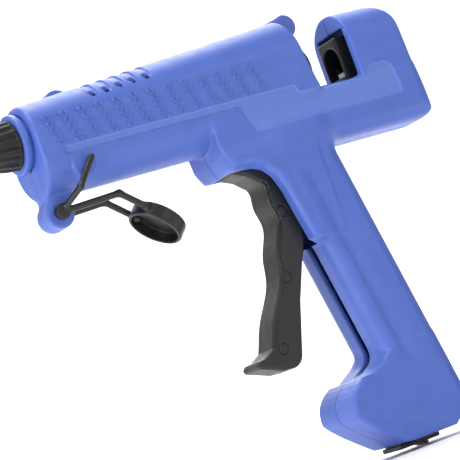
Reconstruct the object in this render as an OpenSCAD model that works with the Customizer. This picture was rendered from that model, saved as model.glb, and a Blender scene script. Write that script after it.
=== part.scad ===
// Hot-melt glue gun for 11 mm sticks, built as an assembly of separate pieces.
// Millimetres. +X runs back along the barrel from the nozzle tip, +Z is up,
// and the two housing halves meet on the plane Y = 0.

/* [Overall] */
// How far the nozzle tip stands in front of the nose collar
nozzle_reach = 28; // [26:1:36]
// Barrel length, from the nose collar to its raked rear face
barrel_len = 136; // [124:1:160]
// Gap between barrel and rear block, where the glue stick shows
feed_gap = 24.6; // [20:0.2:32]
// Length of the rear block that houses the feed carriage
block_len = 29; // [27:0.5:36]
// Height of the barrel axis above the bottom of the handle
axis_height = 166; // [160:1:200]
// Outside half width of the housing
body_half = 15.5; // [15:0.1:20]
// Wall thickness of the housing
wall = 2.4; // [1.8:0.1:3]

/* [Barrel] */
// Height of the barrel's top over the axis at the nose
top_front = 14.6; // [13:0.2:16]
// Height of the barrel's top over the axis at its rear
top_rear = 24; // [20:0.5:28]
// Depth of the barrel's underside below the axis
under_depth = 25; // [24:0.5:28]
// Depth of the lower body's underside below the axis
belly_depth = 36.4; // [35:0.2:42]
// Height of the rear block's top over the axis
block_top = 20.4; // [19:0.2:26]
// Rake of the barrel's rear face in degrees
face_rake = 8; // [0:1:12]
// Depth of the open channel's floor below the axis
channel_floor = 11; // [10.5:0.5:13]

/* [Glue path] */
// Diameter of the glue stick
stick_d = 11.2; // [7:0.1:11.2]
// Clearance round the stick, on the radius
stick_play = 0.3; // [0.1:0.05:0.8]
// Outer radius of the aluminium melting chamber
chamber_r = 9; // [8:0.25:10]
// Length of the melting chamber
chamber_len = 84; // [70:1:95]
// Radius of the nozzle's outlet bore
outlet_r = 1.25; // [0.5:0.05:2]
// Outer radius of the silicone inlet sleeve's collar
sleeve_r = 10.7; // [9.5:0.1:12]
// Outer radius of the ribbed nozzle cover at the collar
cover_r = 10.2; // [9:0.1:11]
// Outer radius of the nose collar
collar_r = 12.4; // [12:0.1:13]

/* [Handle] */
// Distance from the nose collar to the front of the handle at its root
handle_x = 107; // [100:1:115]
// Depth of the handle from front to back
handle_depth = 29.4; // [28:0.2:36]
// Rake of the handle in degrees
handle_rake = 9.8; // [4:0.2:14]
// Height of the foot at the bottom of the handle
foot_height = 32; // [28:1:38]

/* [Trigger] */
// Width of the trigger across the finger face
trigger_w = 15; // [12:0.5:18]
// Radius of the trigger's pivot pin
pivot_r = 2; // [1.5:0.1:2.5]
// Height of the trigger's arm over its pivot
arm_r = 24.5; // [20:0.5:26]
// Swing of the trigger from rest to fully squeezed, in degrees
trigger_swing = 10; // [8:0.5:14]
// Radius of the link's two pins
pin_r = 1.5; // [1:0.1:1.8]
// Running clearance on the radius of every pin that turns
run_fit = 0.05; // [0.02:0.01:0.1]

/* [Stand] */
// Radius of the stand's pivot stubs
stub_r = 2.2; // [1.8:0.1:2.6]
// Thickness of the stand's bars
bar_t = 2.8; // [2:0.1:3.5]
// Outside diameter of the stand's foot ring
ring_d = 23.5; // [18:0.5:26]
// Height of the foot ring's band
ring_h = 6.5; // [4:0.5:9]

/* [Switch and cord] */
// Length of the rocker switch's frame
rocker_len = 21; // [19:0.5:24]
// Width of the rocker switch's frame
rocker_w = 15; // [13:0.5:17]
// Diameter of the mains cord
cord_d = 6.8; // [5:0.1:8]
// Length of the straight runs in the cord's tied hank
hank_run = 50; // [30:1:60]
// Bend radius of the hank's inner turns, at the middle of the cord
hank_bend = 20.4; // [18:0.2:26]

/* [Hidden] */
$fn = 48;
eps = 0.01;
far = 400;

// Places along the barrel, from the nose collar.
block_x0 = barrel_len + feed_gap;
block_x1 = block_x0 + block_len;
inner_half = body_half - wall;
foot_z = -axis_height;
foot_top = foot_z + foot_height;
bore_r = stick_d / 2 + stick_play;
// Sizes that the housing shares with the moving pieces.
carriage_w = 14.4;
sleeve_tube_r = 8.6;
// The surface that the coil and the plug lie on, in the part's frame.
floor_z = -170;
tie_t = 0.4;
hank_layers = 3;
// The hank's first bend starts at this X, and the plug lies on top of the hank.
hank_x = 240;
hank_y = -hank_bend - cord_d;
plug_half = 6.85;
plug_turn = 145;
plug_at = [hank_x + 20, hank_y + 13.4, floor_z + tie_t + hank_layers * cord_d + plug_half];

function handle_front(z) = handle_x + (-belly_depth - z) * tan(handle_rake);
function handle_back(z) = handle_front(z) + handle_depth;
function arc(c, r, a0, a1, n = 8) =
  [for (i = [0 : n]) let (a = a0 + (a1 - a0) * i / n) [c[0] + r * cos(a), c[1] + r * sin(a)]];
function bezier(a, b, c, n = 10) =
  [for (i = [0 : n]) let (t = i / n) a * (1 - t) * (1 - t) + b * 2 * t * (1 - t) + c * t * t];

// Moves its children from nozzle-collar coordinates into the part's frame.
module from_nose() {
  translate([nozzle_reach, 0, 0]) children();
}

// An XZ outline given a thickness along Y, from y0 to y1.
module slab(outline, y0, y1) {
  translate([0, y1, 0]) rotate([90, 0, 0]) linear_extrude(y1 - y0) polygon(outline);
}

// A cylinder along X from x0 to x1, or along Y from y0 to y1.
module rod_x(r, x0, x1, y = 0, z = 0) {
  translate([x0, y, z]) rotate([0, 90, 0]) cylinder(r = r, h = x1 - x0);
}
module rod_y(r, y0, y1, x = 0, z = 0) {
  translate([x, y1, z]) rotate([90, 0, 0]) cylinder(r = r, h = y1 - y0);
}
module box(x, y, z) {
  translate([x[0], y[0], z[0]]) cube([x[1] - x[0], y[1] - y[0], z[1] - z[0]]);
}

// ---- Tubes swept along a route, for the cord, its leads and the spring ----
function unit(v) = v / norm(v);
function way(p, i) = unit(p[min(i + 1, len(p) - 1)] - p[max(i - 1, 0)]);
function side_of(d) = abs(d[2]) > 0.9 ? unit(cross(d, [0, 1, 0])) : unit(cross(d, [0, 0, 1]));
function ring_at(c, u, v, r, n) =
  [for (k = [0 : n - 1]) c + r * cos(360 * k / n) * u + r * sin(360 * k / n) * v];
module tube(p, r, n = 8) {
  m = len(p);
  pts = [for (i = [0 : m - 1]) let (d = way(p, i), u = side_of(d))
    each ring_at(p[i], u, cross(d, u), r, n)];
  skin = [for (i = [0 : m - 2]) for (k = [0 : n - 1]) let (a = i * n + k, b = i * n + (k + 1) % n)
    each [[a, b, a + n], [b, b + n, a + n]]];
  ends = [[for (k = [n - 1 : -1 : 0]) k], [for (k = [0 : n - 1]) (m - 1) * n + k]];
  polyhedron(pts, concat(skin, ends));
}

// ---- Housing ----
// The barrel is a stadium section that grows taller towards the rear.
module barrel_shape(grow = 0) {
  r = body_half + grow;
  nose = 2.5 - min(grow, 0) * 1.5;
  tail = barrel_len + 6 + min(grow, 0) * 1.2;
  hull() for (at = [[nose, top_front], [tail, top_rear + 0.5]]) {
    rod_x(r, at[0], at[0] + 1, 0, at[1] - body_half, $fn = 36);
    rod_x(r, at[0], at[0] + 1, 0, body_half - under_depth, $fn = 36);
  }
}
// Cuts the barrel's rear face off at its rake.
module behind_barrel(x, z0 = -channel_floor) {
  slab([[x + (top_rear + 20) * -tan(face_rake), top_rear + 20], [far, top_rear + 20],
        [far, z0], [x - z0 * tan(face_rake), z0]], -far, far);
}
// Lower body under the gap, block over it, both with the same rounded section.
module section_rows(x0, x1, top, bottom, half, round_b) {
  x = [x0, x1];
  box(x, [-half, half], [bottom + round_b, top]);
  box(x, [-half + round_b, half - round_b], [bottom, top]);
  for (s = [-1, 1]) rod_x(round_b, x0, x1, s * (half - round_b), bottom + round_b);
}
belly_x0 = 80;
belly_outline = concat(
  [[belly_x0, 0], [belly_x0, 3 - under_depth]],
  bezier([belly_x0, 3 - under_depth], [belly_x0 + 0.5, -belly_depth + 2], [belly_x0 + 6, -belly_depth
      + 1.6], 5),
  [[block_x1 - 5, -belly_depth - 0.1]],
  arc([block_x1 - 3, -belly_depth + 6], 6, -90, 0, 4),
  [[block_x1 + 3, -belly_depth + 6], [block_x1 - 1, -channel_floor], [block_x1 - 1.6, 8]],
  arc([block_x1 - 14, 8], 12.4, 0, 80, 6),
  [[block_x0, block_top + 0.2], [block_x0, -channel_floor], [barrel_len, -channel_floor]]);
module belly_shape(grow = 0) {
  round_b = 10;
  half = body_half + grow;
  intersection() {
    union() {
      section_rows(belly_x0 - grow, block_x1 + 4 + grow, -channel_floor + grow, -belly_depth - grow,
          half, round_b);
      section_rows(block_x0 - grow, block_x1 + 4 + grow, block_top - body_half + 1, -channel_floor - 8,
          half, 0.5);
      rod_x(half, block_x0 - grow, block_x1 + 4 + grow, 0, block_top - body_half);
    }
    slab(belly_outline, -far, far);
    translate([0, 0, -far / 2]) linear_extrude(far) polygon(concat(
      [[0, half], [0, -half]],
      arc([block_x1 - 5 + grow, 8 - half], 8, -90, 0, 5),
      arc([block_x1 - 5 + grow, half - 8], 8, 0, 90, 5)));
  }
}
handle_round = 7;
module handle_shape(grow = 0) {
  r = handle_round + grow;
  top = -belly_depth + 8;
  low = foot_top - 6;
  hull() for (z = [top, low]) for (x = [handle_front(z) + handle_round, handle_back(z) - handle_round])
    for (s = [-1, 1]) translate([x, s * (body_half - handle_round), z]) cylinder(r = r, h = 1, $fn = 32);
}
foot_x = handle_back(foot_top - 12) - 57;
foot_outline = concat(
  [[foot_x + 25, foot_top + 6], [foot_x + 14, foot_top]],
  bezier([foot_x + 9, foot_top], [foot_x - 1, foot_top - 5], [foot_x, foot_top - 14], 5),
  bezier([foot_x, foot_top - 14], [foot_x + 2, foot_top - 18], [foot_x + 20, foot_z + 0.6], 4),
  [[foot_x + 25, foot_z], [foot_x + 46, foot_z], [foot_x + 51.5, foot_z + 4], [foot_x + 57.6, foot_z + 14],
   [foot_x + 57, foot_z + 22], [foot_x + 54.6, foot_top + 6]]);
function inset(outline, d) = let (n = len(outline), c = [foot_x + 36, foot_z + 16])
  [for (q = outline) let (v = c - q) q + unit(v) * d];
module foot_shape(grow = 0) {
  edge = 3.5;
  hull() {
    slab(inset(foot_outline, -grow), -body_half + edge, body_half - edge);
    slab(inset(foot_outline, edge - grow), -body_half - grow, body_half + grow);
  }
}
// Trigger arch: an opening as wide as the trigger, cut up into the lower body.
arch_gap = 0.7;
pivot_x = handle_x + 7;
pivot_z = -belly_depth - 4.6;
module arch_cut() {
  w = trigger_w / 2 + arch_gap;
  slab(concat([[60, foot_top], [60, -belly_depth - 6], [belly_x0 - 5, -belly_depth + 1.2]],
    bezier([belly_x0 - 4, -belly_depth + 1.2], [handle_x - 1, -belly_depth + 7],
           [handle_front(-60) - 0.5, -60], 8)), -far, far);
  slab([[belly_x0 + 5, -belly_depth - 10], [belly_x0 + 5, -belly_depth + 5],
        [handle_x + 2, -channel_floor - wall],
        [handle_x + 19, -channel_floor - wall], [handle_x + 19, pivot_z - 8],
        [handle_front(-74) + 14, -72], [handle_front(-74) + 4, -74.5], [handle_front(-74) - 8, -74.5]],
      -w, w);
}
// Narrow slot down the front of the handle.
slot_w = 4.6;
module handle_slot() {
  z1 = foot_top + 1.5;
  slab([[handle_front(-70) - 4, -70], [handle_front(-70) + 6, -70], [handle_front(z1) + 5, z1 + 2],
        [handle_front(z1) - 4, z1 - 1], [handle_front(z1) - 12, z1 - 1], [handle_front(z1) - 6, z1 + 8]],
       -slot_w / 2, slot_w / 2);
}
// Screw posts: [x, z, radius]
posts = [[handle_x + 27, -30], [block_x1 - 7, -27], [handle_front(-82) + 20, -82],
         [handle_front(-114) + 20, foot_top + 20], [foot_x + 12, foot_z + 16]];
post_r = 3.4;
screw_r = 1.4;
screw_head_r = 2.7;
head_depth = 5;
module post_bodies(y0, y1) {
  for (p = posts) rod_y(post_r, y0, y1, p[0], p[1]);
}
// Screw lugs that stand proud of the right half, on the top of the barrel: [x, z, radius, end]
lugs = [[barrel_len + 5.5, top_rear - 3, 5.2, 6], [24.5, top_front - 2.8, 6.5, 8]];
hinge_x = 6.5;
hinge_z = -32;
hinge_r = 6.2;
hinge_half = 5.6;
module hinge_boss() {
  rod_y(hinge_r, -hinge_half, hinge_half, hinge_x, hinge_z);
  box([3, 14], [-hinge_half, hinge_half], [-29, body_half - under_depth - 8]);
}
inlet_ring_r = 10.6;
detent_half = body_half - 0.5;
module housing_outside() {
  difference() {
    barrel_shape();
    behind_barrel(barrel_len);
  }
  belly_shape();
  handle_shape();
  foot_shape();
  hinge_boss();
  rod_x(inlet_ring_r, block_x1 - 8, block_x1 + 1);
  rod_y(5, -detent_half, detent_half, 19, -17);
}
module housing_inside() {
  nose_hole = collar_r - 1.2;
  difference() {
    barrel_shape(-wall);
    behind_barrel(barrel_len - wall, -far);
  }
  rod_x(nose_hole, -5, 12);
  rod_x(sleeve_r + 0.2, barrel_len - 8, barrel_len + 3.5);
  intersection() {
    section_rows(belly_x0 + wall, block_x1 - wall - 1, -channel_floor - wall, -belly_depth + wall,
        inner_half, 7);
    box([0, far], [-far, far], [-far, -channel_floor - wall]);
  }
  box([block_x0 - 1, block_x1 - wall - 1], [-body_half + 4.6, body_half - 4.6], [-channel_floor - 5, 11]);
  rod_x(bore_r + 0.6, block_x0, block_x1 + 10);
  handle_shape(-wall);
  foot_shape(-wall);
}
vent_x = [for (i = [0 : 4]) 33.4 + 6.6 * i];
switch_x = foot_x + 30;
relief_x = foot_x + 54;
relief_z = foot_z + 7.6;
relief_tilt = 8;
relief_r = 4.7;
module housing_cuts() {
  arch_cut();
  handle_slot();
  for (x = vent_x) box([x, x + 2.2], [-9, 9], [top_front - 7, far]);
  box([switch_x - rocker_len / 2 + 1, switch_x + rocker_len / 2 - 1],
      [-rocker_w / 2 + 1, rocker_w / 2 - 1], [foot_z - 5, foot_z + wall + 2]);
  translate([relief_x, 0, relief_z]) rotate([0, 90 + relief_tilt, 0]) translate([0, 0, -14])
    cylinder(r = relief_r, h = 40);
  rod_y(stub_r + run_fit, -far, far, hinge_x, hinge_z);
  rod_y(pivot_r, -inner_half + 0.5, inner_half - 0.5, pivot_x, pivot_z);
}
sleeve_x0 = barrel_len - 44;
holder_x = [14, 70];
// Ribs, sockets and posts inside each half, between y0 and y1 of the inside wall.
module inner_ribs(s) {
  difference() {
    union() {
      if (s > 0) {
        for (l = lugs) rod_y(l[2], 0.5, l[3], l[0], l[1]);
        slab([[barrel_len - 12, top_rear - 6], [lugs[0][0], lugs[0][1] - 5.1], [lugs[0][0],
            lugs[0][1] + 5.1],
              [barrel_len - 12, top_rear - 1.5]], 0.5, lugs[0][3]);
      }
      post_bodies(-inner_half - 0.5, inner_half + 0.5);
      for (x = holder_x) box([x - 4.2, x - 2.2], [-inner_half - 0.5, inner_half + 0.5],
                             [-under_depth + wall - 0.5, top_front - wall]);
      box([sleeve_x0 + 9, sleeve_x0 + 11], [-inner_half - 0.5, inner_half + 0.5],
          [-under_depth + wall - 0.5, top_rear - 9]);
      rod_y(4.6, trigger_w / 2 + arch_gap, inner_half + 0.5, pivot_x, pivot_z);
      rod_y(4.6, -inner_half - 0.5, -trigger_w / 2 - arch_gap, pivot_x, pivot_z);
      for (s = [-1, 1]) box([block_x0 + 5, block_x1 - wall - 0.5],
        s > 0 ? [carriage_w / 2 + 0.2, body_half - 4.2] : [-body_half + 4.2, -carriage_w / 2 - 0.2],
            [-10.2, 11]);
      for (s = [-1, 1]) box([block_x0 + 1, block_x1 - wall - 0.5],
        s > 0 ? [5, body_half - 4.2] : [-body_half + 4.2, -5], [-channel_floor - 2, -10.2]);
    }
    rod_x(chamber_r + 1, -5, sleeve_x0 + 10 + eps);
    box([0, sleeve_x0 + 20], [-11.2, 11.2], [-far, -11.5]);
    rod_x(sleeve_tube_r, sleeve_x0 + 5, sleeve_x0 + 20);
  }
}
module housing_half(s) {
  difference() {
    union() {
      difference() {
        housing_outside();
        housing_inside();
      }
      inner_ribs(s);
    }
    housing_cuts();
    if (s > 0) box([-50, far], [-far, 0], [-far, far]);
    if (s < 0) box([-50, far], [0, far], [-far, far]);
    for (p = posts) {
      rod_y(screw_r, -far, far, p[0], p[1]);
      if (s > 0) rod_y(screw_head_r, body_half - head_depth, far, p[0], p[1]);
      if (s < 0) rod_y(screw_r, -far, -body_half + 3, p[0], p[1]);
    }
    if (s > 0) for (l = lugs) rod_y(screw_head_r, 4, far, l[0], l[1]);
  }
}
module left_housing() {
  color([0.39, 0.47, 0.80]) from_nose() housing_half(-1);
}
module right_housing() {
  color([0.39, 0.47, 0.80]) from_nose() housing_half(1);
}

// ---- Nose and heater ----
module nose_collar() {
  color([0.39, 0.47, 0.80]) from_nose() difference() {
    union() {
      rod_x(collar_r, -1.5, 1.2);
      rod_x(collar_r - 1.3, 1.2, 7);
    }
    rod_x(cover_r - 0.6, -5, 9);
  }
}
rib_count = 16;
cover_len = 22;
module nozzle_cover() {
  color([0.12, 0.12, 0.12]) from_nose() difference() {
    union() {
      rod_x(cover_r - 0.7, -2.6, 6);
      translate([-cover_len, 0, 0]) rotate([0, 90, 0])
        rotate_extrude($fn = 64) polygon([[0, 0], [4.4, 0], [5.2, 0.8], [cover_r - 1.8, 10],
            [cover_r - 0.9, 18],
                                          [cover_r - 0.7, cover_len - 2.6], [0, cover_len - 2.6]]);
      rod_x(cover_r, -2.6, -1.5);
      for (k = [0 : rib_count - 1]) rotate([360 * k / rib_count, 0, 0])
        slab([[-2.5, cover_r - 3], [-2.5, cover_r], [-6, cover_r - 0.1], [-12, cover_r - 1.5],
              [-16, cover_r - 3.2], [-12, cover_r - 3.6]], -0.6, 0.6);
    }
    rod_x(3.3, -30, -17);
    rod_x(6.4, -17.1, 9);
  }
}
module nozzle() {
  color([0.78, 0.60, 0.28]) from_nose() difference() {
    union() {
      translate([-nozzle_reach, 0, 0]) rotate([0, 90, 0]) cylinder(r1 = outlet_r + 0.8, r2 = 3.2, h = 6);
      rod_x(3.2, -nozzle_reach + 5.9, -16.7);
      rotate([30, 0, 0]) translate([-16.8, 0, 0]) rotate([0, 90, 0]) cylinder(r = 6.2, h = 7, $fn = 6);
      rod_x(4, -9.9, 8);
    }
    rod_x(outlet_r, -50, -nozzle_reach + 10);
    rod_x(2.4, -nozzle_reach + 10, 20);
  }
}
chamber_x0 = 8;
module melt_chamber() {
  color([0.72, 0.73, 0.75]) from_nose() difference() {
    union() {
      rod_x(chamber_r, chamber_x0 + 4, chamber_x0 + chamber_len);
      rod_x(5.6, chamber_x0 - 4, chamber_x0 + 4);
      box([holder_x[0] + 6, holder_x[1] - 8], [-7.5, 7.5], [-chamber_r - 2.6, -3]);
    }
    rod_x(bore_r + 0.4, chamber_x0 + 12, far);
    translate([chamber_x0 + 6, 0, 0]) rotate([0, 90, 0]) cylinder(r1 = 2.4, r2 = bore_r + 0.4, h = 6 + eps);
    rod_x(4, 0, 8);
    rod_x(2.4, 0, chamber_x0 + 6 + eps);
  }
}
heater_x = [holder_x[0] + 8, holder_x[1] - 12];
heater_top = -chamber_r - 2.6;
module ptc_heater() {
  color([0.85, 0.82, 0.72]) from_nose() box(heater_x, [-6, 6], [heater_top - 3.4, heater_top]);
}
module heater_clip() {
  t = 0.6;
  x = [heater_x[0] + 8, heater_x[1] - 8];
  low = heater_top - 3.4;
  color([0.75, 0.76, 0.78]) from_nose() {
    box(x, [-8.2, 8.2], [low - t, low]);
    for (s = [-1, 1]) box(x, s > 0 ? [7.6, 8.2] : [-8.2, -7.6], [low, -5]);
  }
}
module holder_plate(x) {
  difference() {
    rod_x(inner_half - 0.9, x - 2, x, 0, -3);
    rod_x(chamber_r, x - 5, x + 5);
  }
}
module front_holder() {
  color([0.25, 0.16, 0.12]) from_nose() holder_plate(holder_x[0]);
}
module rear_holder() {
  color([0.25, 0.16, 0.12]) from_nose() holder_plate(holder_x[1]);
}
module inlet_sleeve() {
  end = chamber_x0 + chamber_len;
  color([0.13, 0.13, 0.14]) from_nose() difference() {
    union() {
      rod_x(sleeve_tube_r, end, barrel_len - 2);
      rod_x(sleeve_r, barrel_len - 5, barrel_len + 4);
      rod_x(chamber_r + 1.6, end - 12, end + 1);
    }
    rod_x(bore_r, end - 1, far);
    rod_x(chamber_r, end - 20, end);
  }
}
module sleeve_clamp() {
  end = chamber_x0 + chamber_len;
  color([0.7, 0.71, 0.73]) from_nose() difference() {
    rod_x(chamber_r + 2.3, end - 8, end - 5);
    rod_x(chamber_r + 1.6, end - 20, end);
  }
}

// ---- Feed mechanism ----
rest_tilt = trigger_swing / 2;
arm_x = pivot_x + arm_r * sin(rest_tilt);
arm_z = pivot_z + arm_r * cos(rest_tilt);
carriage_x = block_x0 - 3.2;
carriage_len = 19;
drag_x = carriage_x + 14.5;
jaw_x = carriage_x + 7;
jaw_z = -8.2;
module feed_carriage() {
  color([0.20, 0.20, 0.21]) from_nose() difference() {
    union() {
      box([carriage_x, carriage_x + carriage_len], [-carriage_w / 2, carriage_w / 2], [-9.9, 9.3]);
      for (s = [-1, 1]) box([drag_x - 3, drag_x + 3.5], s > 0 ? [1.8, 4.4] : [-4.4, -1.8], [arm_z - 3,
          -9.8]);
    }
    rod_x(bore_r + 0.4, 0, far);
    box([carriage_x - 1, carriage_x + 5], [-bore_r, bore_r], [-8.2, 0]);
    box([carriage_x + 2, carriage_x + 12], [-2.6, 2.6], [-20, 0]);
    rod_y(pin_r, -far, far, drag_x, arm_z);
    rod_y(1.1, -far, far, jaw_x, jaw_z);
  }
}
module gripper_jaw() {
  color([0.55, 0.56, 0.57]) from_nose() difference() {
    slab([[jaw_x - 4.6, -5.9], [jaw_x - 3.6, -6.5], [jaw_x - 2.6, -5.9], [jaw_x - 1.6, -6.5], [jaw_x
        + 2, -6.6],
          [jaw_x + 2.6, jaw_z - 1.8], [jaw_x + 1, jaw_z - 2.5], [jaw_x - 1.6, jaw_z - 2.5],
              [jaw_x - 4.4, -7.7]],
         -2.4, 2.4);
    rod_y(1.1 + run_fit, -far, far, jaw_x, jaw_z);
  }
}
module jaw_pin() {
  color([0.7, 0.7, 0.72]) from_nose() rod_y(1.1, -6.8, 6.8, jaw_x, jaw_z);
}
module carriage_pin() {
  color([0.7, 0.7, 0.72]) from_nose() rod_y(pin_r, -5.2, 5.2, drag_x, arm_z);
}
link_h = 5;
link_play = 0.6;
module link_rod() {
  color([0.72, 0.73, 0.75]) from_nose() difference() {
    union() {
      box([arm_x, drag_x], [-1.5, 1.5], [arm_z - link_h / 2, arm_z + link_h / 2]);
      rod_y(3, -1.5, 1.5, arm_x, arm_z);
      rod_y(3.2, -1.5, 1.5, drag_x, arm_z);
    }
    rod_y(pin_r + run_fit, -far, far, arm_x, arm_z);
    rod_y(pin_r + link_play, -far, far, drag_x, arm_z);
  }
}
module arm_pin() {
  color([0.7, 0.7, 0.72]) from_nose() rod_y(pin_r, -5.6, 5.6, arm_x, arm_z);
}
function finger_wave(p, i, n) = [p[0] - 0.9 * cos(1080 * i / n + 130), p[1]];
trigger_front = let (n = 24, p = bezier([96.5, -42], [106, -62], [75.5, -110.4], n))
  [for (i = [1 : n]) finger_wave(p[i], i, n)];
trigger_outline = concat(
  [[pivot_x + 6, pivot_z], [pivot_x + 4, pivot_z + 8], [101, -33], [94, -31], [89.4, -31.4]],
  arc([88.6, -34.4], 2.6, 110, 260, 5), [[92.6, -38.8]], trigger_front,
  [[71, -113.2], [67.6, -113.6]], arc([68.2, -115.4], 1.6, 110, 250, 4),
  [[72, -118.4], [78, -120.6]], arc([83, -114.8], 6.2, -105, -25, 5),
  [[96.9, -95.2], [104.4, -79.5], [107.2, -74.6], [110.5, -67], [116, -54],
   [pivot_x + 6.5, pivot_z - 3]]);
trigger_hollow = [[pivot_x + 2, -54], [106, -51], [102.2, -51], [102.8, -60], [98.6, -74], [91, -89],
    [82.6, -106], [82, -111], [87, -112], [90, -107], [125, -70]];
module trigger() {
  w = trigger_w / 2;
  color([0.24, 0.24, 0.24]) from_nose() difference() {
    union() {
      slab(trigger_outline, -w, w);
      for (s = [-1, 1]) slab([[pivot_x - 5, pivot_z + 4], [arm_x - 3.4, arm_z], [arm_x - 2, arm_z + 2.8],
          [arm_x + 2, arm_z + 2.8], [arm_x + 3.4, arm_z], [pivot_x + 6, pivot_z + 2]],
          s > 0 ? 1.8 : -4.8, s > 0 ? 4.8 : -1.8);
    }
    slab(trigger_hollow, -w + 2.4, w - 2.4);
    rod_y(pivot_r + run_fit, -far, far, pivot_x, pivot_z);
    rod_y(pin_r, -far, far, arm_x, arm_z);
  }
}
module trigger_pin() {
  color([0.7, 0.7, 0.72]) from_nose() rod_y(pivot_r, -inner_half + 0.5, inner_half - 0.5, pivot_x,
      pivot_z);
}
spring_r = 2.3;
post_x = block_x1 - wall - 3.5;
spring_turns = 5;
module return_spring() {
  x0 = drag_x + 4.6;
  x1 = post_x - 1.9;
  steps = spring_turns * 12;
  route = [for (i = [0 : steps]) [x0 + (x1 - x0) * i / steps, spring_r * cos(30 * i), arm_z
      + spring_r * sin(30 * i)]];
  color([0.78, 0.78, 0.8]) from_nose() tube(route, 0.35, 6);
}
module spring_post() {
  color([0.7, 0.7, 0.72]) from_nose() rod_y(1.5, -inner_half, inner_half, post_x, arm_z);
}

// ---- Stand ----
bend = [33, -31];
cup = [48.8, -46];
module bar(a, b) {
  hull() {
    translate(a) rotate([0, 45, 0]) cube(bar_t, center = true);
    translate(b) rotate([0, 45, 0]) cube(bar_t, center = true);
  }
}
module stand() {
  y0 = hinge_half + 0.4 + bar_t / 2;
  color([0.22, 0.22, 0.22]) from_nose() {
    difference() {
      union() {
        for (s = [-1, 1]) {
          rod_y(stub_r, s > 0 ? 1 : -y0, s > 0 ? y0 : -1, hinge_x, hinge_z);
          rod_y(3.2, s > 0 ? hinge_half + 0.4 : -y0 - bar_t / 2, s > 0 ? y0
              + bar_t / 2 : -hinge_half - 0.4,
                hinge_x, hinge_z);
          slab([[hinge_x, hinge_z + bar_t / 2], [bend[0], bend[1] + bar_t / 2], [bend[0] + 1, bend[1]
              + 0.8],
                [cup[0] - 3.4, cup[1] + 5.4], [cup[0] - 5.4, cup[1] + 3.4], [bend[0] - 0.4,
                    bend[1] - bar_t / 2 - 0.2],
                [hinge_x, hinge_z - bar_t / 2]], s * y0 - bar_t / 2, s * y0 + bar_t / 2);
        }
        translate([cup[0], 0, cup[1]]) rotate([0, 45, 0]) cylinder(r = ring_d / 2, h = ring_h,
            center = true);
      }
      translate([cup[0], 0, cup[1]]) rotate([0, 45, 0]) translate([0, 0, -1.5])
        cylinder(r = ring_d / 2 - 1.4, h = ring_h, center = true);
    }
    for (s = [-1, 1]) {
      bar([hinge_x + 1, s * y0, hinge_z + 1], [13, s * (body_half + 1.4), -25.6]);
      bar([13, s * (body_half + 1.4), -25.6], [21.6, s * (body_half + 1.9), -15.2]);
    }
  }
}

// ---- Switch ----
frame_z = foot_z - 2;
rocker_rest = 8;
rocker_half = 4.5;
rocker_pivot = foot_z + 3;
module switch_frame() {
  color([0.13, 0.13, 0.14]) from_nose() difference() {
    box([switch_x - rocker_len / 2, switch_x + rocker_len / 2], [-rocker_w / 2, rocker_w / 2],
        [frame_z, foot_z]);
    box([switch_x - 7.6, switch_x + 7.6], [-rocker_half - 0.3, rocker_half + 0.3], [frame_z - 5,
        foot_z + 5]);
  }
}
module switch_body() {
  color([0.16, 0.16, 0.17]) from_nose() {
    difference() {
      box([switch_x - rocker_len / 2 + 1.5, switch_x + rocker_len / 2 - 1.5],
          [-rocker_w / 2 + 1.1, rocker_w / 2 - 1.1], [foot_z, foot_z + 13]);
      box([switch_x - 8.2, switch_x + 8.2], [-rocker_half - 0.3, rocker_half + 0.3], [foot_z - 5,
          foot_z + 8]);
      rod_y(1 + run_fit, -5.8, 5.8, switch_x, rocker_pivot);
    }
  }
}
module rocker() {
  color([0.62, 0.10, 0.09]) from_nose() translate([switch_x, 0, rocker_pivot]) rotate([0, -rocker_rest,
      0]) {
    slab([[-6.6, -5.8], [0, -4.4], [6.6, -5.8], [7.2, -2], [6.8, 0.6], [3, 2.4], [-3, 2.4], [-6.8,
        0.6], [-7.2, -2]],
         -rocker_half, rocker_half);
    rod_y(1, -5.6, 5.6);
  }
}

// ---- Cord and its fittings ----
relief_len = 30;
module strain_relief() {
  color([0.10, 0.10, 0.11]) from_nose() translate([relief_x, 0, relief_z]) rotate([0, 90 + relief_tilt,
      0]) {
    translate([0, 0, -9]) cylinder(r = relief_r + 1.4, h = 3);
    translate([0, 0, -6 - eps]) cylinder(r = relief_r, h = 8 + eps);
    translate([0, 0, 2]) cylinder(r1 = relief_r, r2 = cord_d / 2 + 0.4, h = relief_len - 2);
  }
}
module inner_cord() {
  color([0.10, 0.10, 0.11]) from_nose()
    tube([[relief_x - 8.9, 0, relief_z + 1.2], [relief_x - 11, 0, relief_z + 2.8], [relief_x - 12, 0,
        relief_z + 6],
          [relief_x - 12.4, 0, relief_z + 12], [relief_x - 12.4, 0, relief_z + 24]], 2.8, 10);
}
clamp_x = relief_x - 12.4;
clamp_z = relief_z + 17;
module cord_clamp() {
  color([0.20, 0.20, 0.21]) from_nose() difference() {
    box([clamp_x - 8, clamp_x + 8], [3, 6], [clamp_z - 3, clamp_z + 3]);
    for (s = [-1, 1]) rod_y(1.5, -far, far, clamp_x + s * 5.6, clamp_z);
  }
}
module clamp_screws() {
  color([0.7, 0.7, 0.72]) from_nose() for (s = [-1, 1]) {
    rod_y(1.5, -3, 6, clamp_x + s * 5.6, clamp_z);
    rod_y(2.6, 6, 7.8, clamp_x + s * 5.6, clamp_z);
  }
}
block_z = relief_z + 24.2;
module terminal_block() {
  color([0.86, 0.86, 0.84]) from_nose()
    box([clamp_x - 8, clamp_x + 3.4], [-7, 7], [block_z, block_z + 9]);
}
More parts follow.
